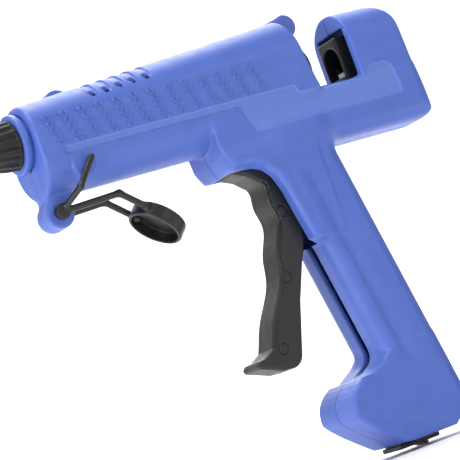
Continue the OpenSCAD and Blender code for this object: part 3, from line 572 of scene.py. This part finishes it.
class GUN_OT_cord(bpy.types.Operator):
    """Lays the mains cord, its hank and strap, and finishes the plug"""
    bl_idname = "gluegun.cord"
    bl_label = "Cord and plug"

    def execute(self, context):
        c, floor = context.scene.gun_cord, context.scene.gun_stage.floor
        line = cord_route(c, floor) * MM
        curve = bpy.data.curves.new("mains_cord", "CURVE")
        curve.dimensions = "3D"
        spline = curve.splines.new("POLY")
        spline.points.add(len(line) - 1)
        for point, p in zip(spline.points, line):
            point.co = (*p, 1)
        curve.bevel_depth = c.diameter / 2 * MM
        curve.bevel_resolution = 6
        curve.use_fill_caps = True
        curve.materials.append(finishes()["pvc"])
        cord = show(bpy.data.objects.new("mains_cord", curve))
        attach(cord, "gun")
        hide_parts("cord_tube", "cord_coil")
        tie = self.strap(c, floor)
        plug = self.plug(c, floor)
        wear("plug_pins", "nickel")
        return {"FINISHED"}

    def strap(self, c, floor):
        """A flat strap round the two columns of cord on one side of the hank."""
        wide = 2 * c.diameter + 0.8
        x0, y1 = HANK_X + 8 - NOZZLE_REACH, -2 * c.bend - c.diameter + c.diameter / 2 + 0.4
        top = floor + 3 * c.diameter + 0.8

        def field(x, y, z):
            outer_box = box(x, y, z, (x0, y1 - wide, floor), (x0 + 7, y1, top), 0.35)
            hole = box(x, y, z, (x0 - 9, y1 - wide + 0.4, floor + 0.4), (x0 + 16, y1 - 0.4, top - 0.4), 2.2)
            return soft_cut(outer_box, hole, 0.1)

        lo, hi = (x0 - 0.4, y1 - wide - 0.4, floor - 0.4), (x0 + 7.4, y1 + 0.4, top + 0.4)
        return solid("hank_strap", field, lo, hi, 0.4, "gun", finishes()["nylon"], ["coil_tie"])

    def plug(self, c, floor):
        """A two-pin plug with a waisted grip, a moulded neck and ribs for the fingers."""
        px, py = HANK_X + 20 - NOZZLE_REACH, -c.bend - c.diameter + 13.4
        pz = floor + 0.4 + 3 * c.diameter + 6.85
        turn = math.radians(145)
        shape = [(0, -13), (2, -17.4), (12, -17.4), (26, -7), (26, 7), (12, 17.4), (2, 17.4), (0, 13)]

        def field(x, y, z):
            u = (x - px) * math.cos(turn) + (y - py) * math.sin(turn) + 34
            v = -(x - px) * math.sin(turn) + (y - py) * math.cos(turn)
            flat = outline(u, v, shape) + 0 * z
            body = rounded(flat, np.abs(z - pz) - 6.85, 2.2)
            for k in range(4):
                rib = np.abs(u - 11 - 3.4 * k) - 0.8
                body = soft_cut(body, np.maximum(rib, -(flat + 0.7)), 0.5)
            neck = rounded(np.hypot(v, z - pz) - 5.6 + (u - 26) * 0.2, np.abs(u - 29) - 5, 0.5)
            return soft_join(body, neck, 2.0)

        lo, hi = (px - 6, py - 36, floor + 19), (px + 40, py + 8, floor + 36)
        return solid("plug_grip", field, lo, hi, 0.6, "gun", finishes()["pvc"], ["plug_body"])


# ---- Housing ----

BELLY_FRONT = 80.0
BARREL_END = 136.0
BLOCK_FRONT, BLOCK_BACK = 160.6, 189.6
FOOT = 98.33
# Hinge of the stand, and the bump that the stand's arms snap over.
HINGE = (6.5, -32.0)
DETENT = (19, -17)
# Half widths of the trigger's channel and of the slot below it.
CHANNEL_HALF = 8.2
SLOT_HALF = 2.3
# Depth of the handle from front to back.
HANDLE_DEPTH = 29.4
# Mouth of the strain relief in the foot, and its downward tilt.
RELIEF = (FOOT + 54, -158.4)
RELIEF_TILT = math.radians(8)
SWITCH_X = FOOT + 30


def barrel_top(x):
    return 14.6 + 9.4 * np.clip((x - 2.5) / 139.5, 0, 1)


def barrel_field(x, y, z, half, grow=0.0):
    """A stadium section that grows taller towards the rear, cut off at a rake of 8 degrees."""
    mid = np.clip(z, half - 25, barrel_top(x) - half)
    section = np.hypot(y, z - mid) - half - grow
    front = 2.5 - x - grow
    rear = (x - BARREL_END + z * 0.1405) * 0.990 - grow
    return rounded(rounded(section, front, 1.8), rear, 1.0)


def belly_field(x, y, z, half, grow=0.0):
    """The lower body under the feed gap, its underside rounded by 10 mm and its back corners by 8 mm."""
    side = [(BELLY_FRONT, 0), (BELLY_FRONT, -22)]
    side += bend((BELLY_FRONT, -22), (BELLY_FRONT + 0.5, -34.4), (BELLY_FRONT + 6, -34.8), 6)
    side += [(BLOCK_BACK - 5, -36.5)] + arc((BLOCK_BACK - 3, -30.4), 6, -90, 0, 5)
    side += [(BLOCK_BACK - 1, -11), (BARREL_END + 2, -11), (BARREL_END - 4, 0)]
    flat = outline(x, z, side) - grow
    section = rounded(np.abs(y) - half, -36.4 - z, 10.0) - grow
    return soft_keep(soft_keep(flat, section, 3.0), back_corners(x, y, half) - grow, 1.0)


def back_corners(x, y, half):
    """The upright back corners of the body, rounded by 8 mm."""
    return rounded(x - (BLOCK_BACK + 3), np.abs(y) - half, 8)


def block_field(x, y, z, half, grow=0.0):
    """The rear block round the feed carriage, with a round top."""
    side = [(BLOCK_FRONT, -20), (BLOCK_FRONT, 20.4), (BLOCK_FRONT + 16, 20.4)]
    side += bend((BLOCK_FRONT + 16, 20.4), (BLOCK_BACK - 3, 19.8), (BLOCK_BACK - 1.8, 5), 8)
    side += [(BLOCK_BACK - 1, -11), (BLOCK_BACK, -20)]
    flat = outline(x, z, side) - grow
    mid = np.clip(z, -40, 20.4 - half + 0.3)
    section = np.hypot(y, z - mid) - half + 0.3 - grow
    return soft_keep(rounded(flat, section, 1.2), back_corners(x, y, half) - grow, 2.0)


def handle_front(z):
    return 107 + (-36.4 - z) * 0.1727


def handle_field(x, y, z, half, grow=0.0):
    front = handle_front(z)
    depth = HANDLE_DEPTH
    section = rounded(np.abs(x - front - depth / 2) - depth / 2, np.abs(y) - half, 7.5) * 0.985 - grow
    return np.maximum(section, np.maximum(z + 24, -144 - z))


def foot_field(x, y, z, half, grow=0.0):
    side = [(FOOT + 25, -128), (FOOT + 14, -134)]
    side += bend((FOOT + 9, -134), (FOOT - 1, -139), (FOOT, -148), 6)
    side += bend((FOOT, -148), (FOOT + 2, -152), (FOOT + 20, -165.4), 5)[1:]
    side += [(FOOT + 25, -166), (FOOT + 46, -166), (FOOT + 51.5, -162), (FOOT + 57.6, -152),
             (FOOT + 57, -144), (FOOT + 54.6, -128)]
    return rounded(outline(x, z, side) - grow, np.abs(y) - half - grow, 1.8)


def web_field(x, y, z, half, grow=0.0):
    """The arch over the trigger, which runs down into the front of the handle."""
    side = [(84, -30), (84, -34.6)]
    side += [(88.8, -34.7), (94.4, -35.3), (99, -38.1), (102.5, -42.4), (104.9, -49.2), (107.3, -62), (109.5, -72)]
    side += [(112.0, -74), (125, -74), (125, -30)]
    return rounded(outline(x, z, side) - grow, np.abs(y) - half - grow, 2.6)


SCREWS = [(134.0, -30.0), (182.6, -27.0), (handle_front(-82) + 20, -82.0), (handle_front(-114) + 20, -114.0),
          (FOOT + 12, -150.0)]
LUGS = [(141.5, 21.0, 5.2, 6.0), (24.5, 11.8, 6.5, 8.0)]
VENTS = [34.5 + 6.5 * i for i in range(5)]
PANEL = ([(12.6, -7.9), (124.7, -7.6), (125.9, -10.7), (126.9, -11.3), (161.3, -11.0), (163.9, -7.9), (173.3, -7.4),
          (176.5, -9.4), (177.7, -21.3), (176.9, -23.3), (99.1, -23.4), (95.4, -11.8), (94.5, -11.3), (12.6, -11.3)])


def outside(x, y, z, half, grow=0.0):
    """The two halves together, without any opening."""
    d = barrel_field(x, y, z, half, grow)
    d = soft_join(d, belly_field(x, y, z, half, grow), 1.2)
    d = soft_join(d, block_field(x, y, z, half, grow), 1.0)
    stem = soft_join(handle_field(x, y, z, half - 0.4, grow), web_field(x, y, z, half - 0.2, grow), 3.0)
    stem = soft_join(stem, foot_field(x, y, z, half, grow), 5.0)
    # The back of the handle runs on straight into the foot, and a shallow valley follows its front edge.
    back = (x - handle_front(z) - HANDLE_DEPTH) * 0.985
    stem = np.maximum(stem, rounded(back - grow, np.abs(y) - half - grow, 7.3))
    if grow == 0:
        valley = np.exp(-((x - handle_front(z) - 9.5) / 3.5) ** 2) * ramp(-46 - z, 8) * ramp(z + 130, 6)
        stem = stem + 0.9 * valley * ramp(np.abs(y) - 11, 2)
    return soft_join(d, stem, 6.0)


def along_relief(x, z):
    """Distance along the strain relief from its mouth, and across it in the middle plane."""
    dx, dz = x - RELIEF[0], z - RELIEF[1]
    return (dx * math.cos(RELIEF_TILT) - dz * math.sin(RELIEF_TILT),
            dx * math.sin(RELIEF_TILT) + dz * math.cos(RELIEF_TILT))


def openings(x, y, z, d):
    """Cuts the channel, the slot, the feed block's opening, the switch's seat and the cord's hole."""
    channel = [(85, -50), (85, -31.4), (109, -13.4), (126, -13.4), (126, -49), (handle_front(-74) + 14, -72),
               (handle_front(-74) + 4, -74.5), (handle_front(-74) - 8, -74.5), (90, -74.5)]
    d = soft_cut(d, plate(x, y, z, channel, CHANNEL_HALF, 0.5), 0.8)
    slot = [(handle_front(-70) - 4, -70), (handle_front(-70) + 6, -70), (handle_front(-132.5) + 5, -130.5),
            (handle_front(-132.5) - 12, -133.5), (handle_front(-132.5) - 6, -124.5)]
    d = soft_cut(d, plate(x, y, z, slot, SLOT_HALF, 0.3), 0.8)
    d = soft_cut(d, box(x, y, z, (BLOCK_FRONT - 4, -10.9, -9.8), (BLOCK_BACK - 4, 10.9, 12), 1.2), 0.8)
    d = soft_cut(d, np.maximum(np.hypot(y, z) - 6.5, BLOCK_FRONT - x), 0.6)
    d = soft_cut(d, np.maximum(np.hypot(y, z) - 10.9, np.abs(x - BARREL_END - 6) - 14), 0.4)
    d = soft_cut(d, np.maximum(np.hypot(y, z) - 11.2, x - 9), 0.5)
    d = soft_cut(d, box(x, y, z, (FOOT + 20.5, -6.5, -172), (FOOT + 39.5, 6.5, -160), 0.5), 0.5)
    u, v = along_relief(x, z)
    d = soft_cut(d, np.maximum(np.hypot(y, v) - 4.9, -u - 12), 0.6)
    return d


def housing_field(side, s):
    """One half of the housing: side is -1 for the left half and 1 for the right."""
    half = s.half_width

    def field(x, y, z):
        d = outside(x, y, z, half)
        core = outside(x, y, z, half, -s.wall)
        # Boss for the stand's hinge, and the bump that the stand's arms snap over.
        boss = soft_join(disc(x, y, z, HINGE, 6.2, -5.6, 5.6, 0.8),
                         box(x, y, z, (3, -5.6, -29), (14, 5.6, -15), 0.8), 1.5)
        d = soft_join(d, boss, 1.5)
        d = soft_join(d, disc(x, y, z, DETENT, 5, -half + 0.5, half - 0.5, 0.8), 0.8)
        # Inlet ring round the glue stick at the back of the block.
        ring = rounded(np.hypot(y, z) - 10.6, np.abs(x - BLOCK_BACK + 4) - 5, 0.8)
        d = soft_join(d, ring, 1.0)
        if side > 0:
            for lx, lz, lr, end in LUGS:
                d = soft_join(d, disc(x, y, z, (lx, lz), lr, 0.4, end, 0.7), 1.0)
            neck = [(124, 18), (141.5, 16), (141.5, 26), (124, 22.4)]
            d = soft_join(d, rounded(outline(x, z, neck), np.abs(y - 3.2) - 2.8, 0.6), 0.8)
        # Label panel and stripe, sunk a little into both sides.
        inside_panel = outline(x, z, PANEL)
        d = d + 0.55 * ramp(-inside_panel - 0.2, 0.35) * ramp(np.abs(y) - 12, 1)
        # Vents: shallow grooves over the top, each with a hole at its ends.
        for vx in VENTS:
            groove = rounded(np.abs(x - vx) - 2.0, np.abs(y) - 13.0, 1.8)
            d = soft_cut(d, np.maximum(np.maximum(groove, 4 - z), -(barrel_field(x, y, z, half) + 0.8)), 0.5)
            hole = np.maximum(np.hypot(x - vx, np.abs(y) - 11.2) - 1.3, 4 - z)
            d = soft_cut(d, hole, 0.5)
        d = np.maximum(d, -core)
        d = openings(x, y, z, d)
        d = soft_cut(d, np.hypot(x - HINGE[0], z - HINGE[1]) - 2.3, 0.4)
        # Screws go in from the right half.
        if side > 0:
            for sx, sz in SCREWS:
                d = soft_join(d, disc(x, y, z, (sx, sz), 3.6, 0.2, half - 1.0, 0.3), 0.3)
                d = soft_cut(d, disc(x, y, z, (sx, sz), 2.8, half - 5, half + 5, 0.1), 0.5)
            for lx, lz, lr, end in LUGS:
                d = soft_cut(d, disc(x, y, z, (lx, lz), 2.8, 4, 30, 0.1), 0.4)
        return soft_keep(d, -side * y + 0.02, s.seam)

    return field


def dots(side, s):
    """Domes on the barrel's flat side: pairs in slanting columns, as mesh islands."""
    rings = [(0.0, 1.12), (0.15, 1.02), (0.6, 0.92), (0.88, 0.62), (0.98, 0.3)]
    points, faces, out = [], [], []
    around = 12
    slant = -0.248
    for row in range(s.dot_rows):
        z = 5.3 - 2.95 * row
        for column in range(13):
            for pair in (0, 1):
                x = 7.9 + 8.12 * column + 2.5 * pair + slant * (z - 5.3)
                base = len(points)
                for h, scale in rings:
                    for k in range(around):
                        a = 2 * math.pi * k / around
                        r = s.dot_radius * scale
                        points.append((x + r * math.cos(a), side * (s.half_width - 0.02 + h), z + r * math.sin(a)))
                        tip = 1.0 if h == 0 else 0.2 + h
                        n = np.array([math.cos(a) * (1.2 - h * 1.2), side * tip, math.sin(a) * (1.2 - h * 1.2)])
                        if h == 0:
                            n = np.array([0, side, 0.0])
                        out.append(n / np.linalg.norm(n))
                points.append((x, side * (s.half_width + 1.0), z))
                out.append((0, side, 0))
                for i in range(len(rings) - 1):
                    for k in range(around):
                        m = (k + 1) % around
                        q = (base + i * around + k, base + i * around + m, base + (i + 1) * around + m,
                             base + (i + 1) * around + k)
                        faces.append(q if side < 0 else q[::-1])
                last = base + (len(rings) - 1) * around
                for k in range(0, around, 2):
                    q = (last + k, last + (k + 1) % around, last + (k + 2) % around, len(points) - 1)
                    faces.append(q if side < 0 else q[::-1])
    return np.array(points), np.array(faces), np.array(out, float)


class GUN_OT_housing(bpy.types.Operator):
    """Makes the two moulded halves of the housing with their dots, vents, stripe and panel"""
    bl_idname = "gluegun.housing"
    bl_label = "Housing halves"

    def execute(self, context):
        s = context.scene.gun_housing
        for side, name in ((-1, "left_housing"), (1, "right_housing")):
            lo = (-0.5, -16.5 if side < 0 else -0.3, -167)
            hi = (195, 0.3 if side < 0 else 16.5, 27.5)
            piece = solid(name + "_shell", housing_field(side, s), lo, hi, s.step, "gun",
                          finishes()["housing"], [name], dots(side, s))
            co = np.array([v.co for v in piece.data.vertices]) / MM - [NOZZLE_REACH, 0, 0]
            # Painted sheen mask: the label panel, where the pebble is eased and a paler colour stands in for the
            # light on its polish.
            polish_and_sheen = ramp(-outline(co[:, 0], co[:, 2], PANEL), 0.3) * (np.abs(co[:, 1]) > 12)
            layer = piece.data.attributes.new("polish_and_sheen", "FLOAT", "POINT")
            layer.data.foreach_set("value", polish_and_sheen.astype(np.float32))
        return {"FINISHED"}


# ---- Nose ----

class GUN_OT_nose(bpy.types.Operator):
    """Makes the nose collar and the ribbed cover over the nozzle"""
    bl_idname = "gluegun.nose"
    bl_label = "Nose"

    def execute(self, context):
        def collar(x, y, z):
            r = np.hypot(y, z)
            d = rounded(r - 12.4, np.abs(x + 0.1) - 1.4, 0.7)
            d = soft_join(d, np.maximum(r - 11.1, np.abs(x - 4) - 3), 0.4)
            return soft_cut(d, r - 9.8, 0.6)

        solid("nose_ring", collar, (-2, -12.6, -12.6), (7.2, 12.6, 12.6), 0.45, "gun",
              finishes()["housing"], ["nose_collar"])

        def cover(x, y, z):
            r, a = np.hypot(y, z), np.arctan2(z, y)
            skin_r = np.interp(x, [-22, -21.2, -12, -4, -2.6, 6], [4.4, 5.2, 8.4, 9.3, 9.5, 9.5]).astype(np.float32)
            d = (r - skin_r) * 0.93
            d = soft_join(d, np.maximum(r - 10.2, np.abs(x + 2) - 0.6), 0.5)
            pitch = 2 * math.pi / 16
            off = np.abs((a / pitch + 0.5) % 1.0 - 0.5) * pitch * r
            crest = np.interp(x, [-16.5, -12, -6, -2.4], [6.6, 8.9, 10.1, 10.2]).astype(np.float32)
            rib = rounded(off - 0.75, r - crest, 0.5)
            rib = np.maximum(rib, np.maximum(-16.5 - x, x + 2.2))
            d = soft_join(d, rib, 0.7)
            d = np.maximum(d, np.maximum(-22 - x, x - 6))
            return soft_cut(soft_cut(d, np.maximum(r - 6.4, -17 - x), 0.3), r - 3.3, 0.5)

        solid("ribbed_cover", cover, (-22.2, -10.4, -10.4), (6.2, 10.4, 10.4), 0.4, "gun",
              finishes()["silicone"], ["nozzle_cover"])
        wear("nozzle", "brass")
        return {"FINISHED"}


# ---- Trigger ----

PIVOT = (114.0, -41.0)
# The pin at the end of the trigger's lever.
ARM = (116.135, -16.593)


def trigger_front(depth):
    line = bend((96.5, -42), (106, -62), (75.5, -110.4), 36)[1:]
    return [(x - depth * math.cos(math.radians(1080 * (i + 1) / 36 + 130)), z) for i, (x, z) in enumerate(line)]


class GUN_OT_trigger(bpy.types.Operator):
    """Makes the trigger with its finger grooves and the lever that works the feed"""
    bl_idname = "gluegun.trigger"
    bl_label = "Trigger"

    def execute(self, context):
        s = context.scene.gun_grip
        side = [(120, -41), (118, -33), (101, -33), (94, -31), (89.4, -31.4)] + arc((88.6, -34.4), 2.6, 110, 260, 6)
        side += [(92.6, -38.8)] + trigger_front(s.finger_depth) + [(71, -113.2), (67.6, -113.6)]
        side += arc((68.2, -115.4), 1.6, 110, 250, 4) + [(72, -118.4), (78, -120.6)]
        side += arc((83, -114.8), 6.2, -105, -25, 6)
        side += [(96.9, -95.2), (104.4, -79.5), (107.2, -74.6), (110.5, -67), (116, -54), (120.5, -44)]
        grip = [(x + 1.6, z) for x, z in trigger_front(s.finger_depth)] + [(60, -112), (60, -42)]
        arm = [(109, -37), (ARM[0] - 3.4, ARM[1]), (ARM[0] - 2, ARM[1] + 2.8), (ARM[0] + 2, ARM[1] + 2.8),
               (ARM[0] + 3.4, ARM[1]), (120, -39)]
        hollow = [(116, -54), (106, -51), (102.2, -51), (102.8, -60), (98.6, -74), (91, -89), (82.6, -106),
                  (82, -111), (87, -112), (90, -107), (125, -70)]

        def field(x, y, z):
            flat = outline(x, z, side)
            w = np.abs(y) - s.trigger_half
            d = rounded(flat, w, 1.6)
            # Witness line of the soft grip along the finger face, and round marks of the ejector pins.
            line = np.abs(outline(x, z, grip)) - 0.3
            for mx, mz in ((103, -57), (94, -84), (81, -112)):
                line = np.minimum(line, np.abs(np.hypot(x - mx, z - mz) - 2.4) - 0.25)
            d = soft_cut(d, np.maximum(line, s.trigger_half - 0.35 - np.abs(y)), 0.3)
            d = soft_cut(d, plate(x, y, z, hollow, s.trigger_half - 2.4, 0.6), 0.6)
            lever = rounded(outline(x, z, arm), np.abs(np.abs(y) - 3.3) - 1.5, 0.4)
            d = soft_join(d, lever, 0.6)
            d = np.maximum(d, 2.05 - np.hypot(x - PIVOT[0], z - PIVOT[1]))
            return np.maximum(d, 1.5 - np.hypot(x - ARM[0], z - ARM[1]))

        solid("finger_trigger", field, (64, -7.8, -122), (122, 7.8, -13), 0.5, "trigger",
              finishes()["trigger"], ["trigger"])
        wear("arm_pin", "steel")
        wear("trigger_pin", "steel")
        return {"FINISHED"}


# ---- Stand ----

class GUN_OT_stand(bpy.types.Operator):
    """Makes the folding stand with its two bars, its snap arms and its foot"""
    bl_idname = "gluegun.stand"
    bl_label = "Stand"

    def execute(self, context):
        t = context.scene.gun_grip.stand_bar / 2
        hinge, knee, foot = HINGE, (33.0, -31.0), (48.8, -46.0)
        side_y = 5.6 + 0.4 + t

        def field(x, y, z):
            ay = np.abs(y)
            d = strut(x, ay, z, (hinge[0], side_y, hinge[1]), (knee[0], side_y, knee[1]), t * 1.02)
            low = (foot[0] - 3.8, side_y, foot[1] + 4.8)
            d = soft_join(d, strut(x, ay, z, (knee[0], side_y, knee[1]), low, t * 1.02), 1.2)
            d = soft_join(d, disc(x, ay, z, hinge, 3.2, side_y - t, side_y + t, 0.5), 0.8)
            d = soft_join(d, disc(x, ay, z, hinge, 2.2, 1.0, side_y, 0.3), 0.3)
            snap = [(hinge[0] + 1, side_y, hinge[1] + 1), (13, 16.9, -25.6), (21.6, 17.4, -15.2)]
            for a, b in zip(snap, snap[1:]):
                d = soft_join(d, strut(x, ay, z, a, b, t * 0.95), 1.0)
            u = ((x - foot[0]) + (z - foot[1])) * 0.7071
            v = np.hypot(((x - foot[0]) - (z - foot[1])) * 0.7071, y)
            cup = rounded(v - 11.75, np.abs(u) - 3.25, 0.9)
            cup = soft_cut(cup, np.maximum(v - 10.3, u - 1.6), 0.5)
            return soft_join(d, cup, 0.9)

        solid("wire_stand", field, (2.5, -19.5, -57.5), (60.5, 19.5, -13.4), 0.5, "stand",
              finishes()["nylon"], ["stand"])
        return {"FINISHED"}


# ---- Feed ----

class GUN_OT_feed(bpy.types.Operator):
    """Makes the feed carriage and the inlet sleeve, and finishes the heater and the linkage"""
    bl_idname = "gluegun.feed"
    bl_label = "Feed and heater"

    def execute(self, context):
        x0 = 157.4

        def carriage(x, y, z):
            d = box(x, y, z, (x0, -7.2, -9.9), (x0 + 19, 7.2, 9.3), 0.9)
            ears = np.maximum(np.abs(x - x0 - 14.75) - 3.25, np.abs(z + 14.8) - 4.9)
            ears = rounded(ears, np.abs(np.abs(y) - 3.1) - 1.3, 0.3)
            d = soft_join(d, ears, 0.4)
            d = soft_cut(d, np.hypot(y, z) - 5.9, 0.8)
            d = soft_cut(d, box(x, y, z, (x0 - 1, -5.9, -8.2), (x0 + 5, 5.9, 0), 0.3), 0.5)
            d = soft_cut(d, box(x, y, z, (x0 + 2, -2.6, -20), (x0 + 12, 2.6, 0), 0.2), 0.4)
            d = np.maximum(d, 1.5 - np.hypot(x - x0 - 14.5, z + 16.67))
            return np.maximum(d, 1.1 - np.hypot(x - x0 - 7, z + 8.2))

        solid("stick_carriage", carriage, (x0 - 0.4, -7.5, -20), (x0 + 19.4, 7.5, 9.6), 0.45, "carriage",
              finishes()["nylon"], ["feed_carriage"])

        def sleeve(x, y, z):
            r = np.hypot(y, z)
            d = np.maximum(r - 8.6, np.abs(x - 113) - 21)
            d = soft_join(d, rounded(r - 10.7, np.abs(x - 135.5) - 4.5, 0.9), 0.5)
            d = soft_join(d, rounded(r - 10.6, np.abs(x - 86.5) - 6.5, 0.5), 0.5)
            return soft_cut(soft_cut(d, np.maximum(r - 5.8, 91 - x), 0.9), np.maximum(r - 9.0, x - 92), 0.2)

        solid("stick_sleeve", sleeve, (79.5, -11, -11), (140.5, 11, 11), 0.6, "gun",
              finishes()["silicone"], ["inlet_sleeve"])
        for node, finish in (("melt_chamber", "aluminium"), ("ptc_heater", "ceramic"), ("heater_clip", "steel"),
                             ("front_holder", "phenolic"), ("rear_holder", "phenolic"), ("sleeve_clamp", "steel"),
                             ("gripper_jaw", "steel"), ("jaw_pin", "steel"), ("carriage_pin", "steel"),
                             ("link_rod", "steel"), ("return_spring", "steel"), ("spring_post", "steel")):
            wear(node, finish)
        return {"FINISHED"}


# ---- Switch ----

class GUN_OT_switch(bpy.types.Operator):
    """Makes the rocker switch, its frame and the cord's strain relief"""
    bl_idname = "gluegun.switch"
    bl_label = "Switch and strain relief"

    def execute(self, context):
        sx = SWITCH_X

        def bezel(x, y, z):
            d = box(x, y, z, (sx - 10.5, -7.5, -168), (sx + 10.5, 7.5, -166), 0.6)
            return soft_cut(d, box(x, y, z, (sx - 7.6, -4.8, -175), (sx + 7.6, 4.8, -160), 0.4), 0.4)

        solid("switch_bezel", bezel, (sx - 10.8, -7.8, -168.3), (sx + 10.8, 7.8, -165.7), 0.35, "gun",
              finishes()["nylon"], ["switch_frame"])
        tilt = math.radians(8)

        def rocker(x, y, z):
            u = (x - sx) * math.cos(tilt) + (z + 163) * -math.sin(tilt)
            v = (x - sx) * math.sin(tilt) + (z + 163) * math.cos(tilt)
            shape = [(-6.6, -5.8), (-3.2, -4.6), (0, -4.3), (3.2, -4.6), (6.6, -5.8), (7.2, -2), (6.8, 0.6), (3, 2.4),
                     (-3, 2.4), (-6.8, 0.6), (-7.2, -2)]
            d = rounded(outline(u, v, shape), np.abs(y) - 4.5, 0.6)
            return soft_join(d, np.maximum(np.hypot(u, v) - 1, np.abs(y) - 5.6), 0.2)

        solid("red_rocker", rocker, (sx - 7.8, -5.8, -169.6), (sx + 7.8, 5.8, -160), 0.35, "rocker",
              finishes()["rocker"], ["rocker"])
        rx = RELIEF[0]

        def relief(x, y, z):
            u, v = along_relief(x, z)
            r = np.hypot(y, v)
            taper = np.interp(u, [-20, 2, 30, 60], [4.7, 4.7, 3.8, 3.8]).astype(np.float32)
            d = rounded(r - taper, np.abs(u - 12) - 18, 0.5)
            # Bending slots, on alternate sides down the sleeve.
            for k in range(5):
                gap = np.maximum(np.abs(u - 6.5 - 4.6 * k) - 0.8, -(r - taper + 1.0))
                side_of = np.abs(v) - 2.4 if k % 2 else np.abs(y) - 2.4
                d = soft_cut(d, np.maximum(gap, side_of), 0.4)
            d = soft_join(d, rounded(r - 6.1, np.abs(u + 7.5) - 1.5, 0.4), 0.3)
            return soft_cut(d, r - 3.0, 0.3)

        solid("cord_sleeve", relief, (rx - 10, -6.5, -170), (rx + 30.5, 6.5, -150.5), 0.45, "gun",
              finishes()["pvc"], ["strain_relief"])
        for node, finish in (("switch_body", "nylon"), ("inner_cord", "pvc"), ("cord_clamp", "nylon"),
                             ("clamp_screws", "zinc"), ("housing_screws", "zinc"), ("terminal_block", "terminal"),
                             ("live_lead", "brown"), ("neutral_lead", "blue")):
            wear(node, finish)
        return {"FINISHED"}


# ---- Panel and registration ----

OPERATORS = (GUN_OT_stage, GUN_OT_cord, GUN_OT_housing, GUN_OT_nose, GUN_OT_trigger, GUN_OT_stand, GUN_OT_feed,
             GUN_OT_switch)


class GUN_PT_panel(bpy.types.Panel):
    """Lists the operators in the order they are used"""
    bl_label = "Glue Gun"
    bl_idname = "GUN_PT_panel"
    bl_space_type = "VIEW_3D"
    bl_region_type = "UI"
    bl_category = "Glue Gun"

    def draw(self, context):
        for group in ("gun_housing", "gun_grip", "gun_cord", "gun_stage"):
            settings = getattr(context.scene, group)
            shown = self.layout.box()
            for key in settings.__annotations__:
                shown.prop(settings, key)
        for made in OPERATORS:
            self.layout.operator(made.bl_idname)


SETTINGS = {"gun_housing": GunHousingSettings, "gun_grip": GunGripSettings, "gun_cord": GunCordSettings,
            "gun_stage": GunStageSettings}


def register():
    for made in (*SETTINGS.values(), *OPERATORS, GUN_PT_panel):
        bpy.utils.register_class(made)
    for name, group in SETTINGS.items():
        setattr(bpy.types.Scene, name, PointerProperty(type=group))


def unregister():
    for name in SETTINGS:
        delattr(bpy.types.Scene, name)
    for made in reversed((*SETTINGS.values(), *OPERATORS, GUN_PT_panel)):
        bpy.utils.unregister_class(made)


def main():
    register()
    for made in OPERATORS:
        group, name = made.bl_idname.split(".")
        getattr(getattr(bpy.ops, group), name)()


if __name__ == "__main__":
    main()
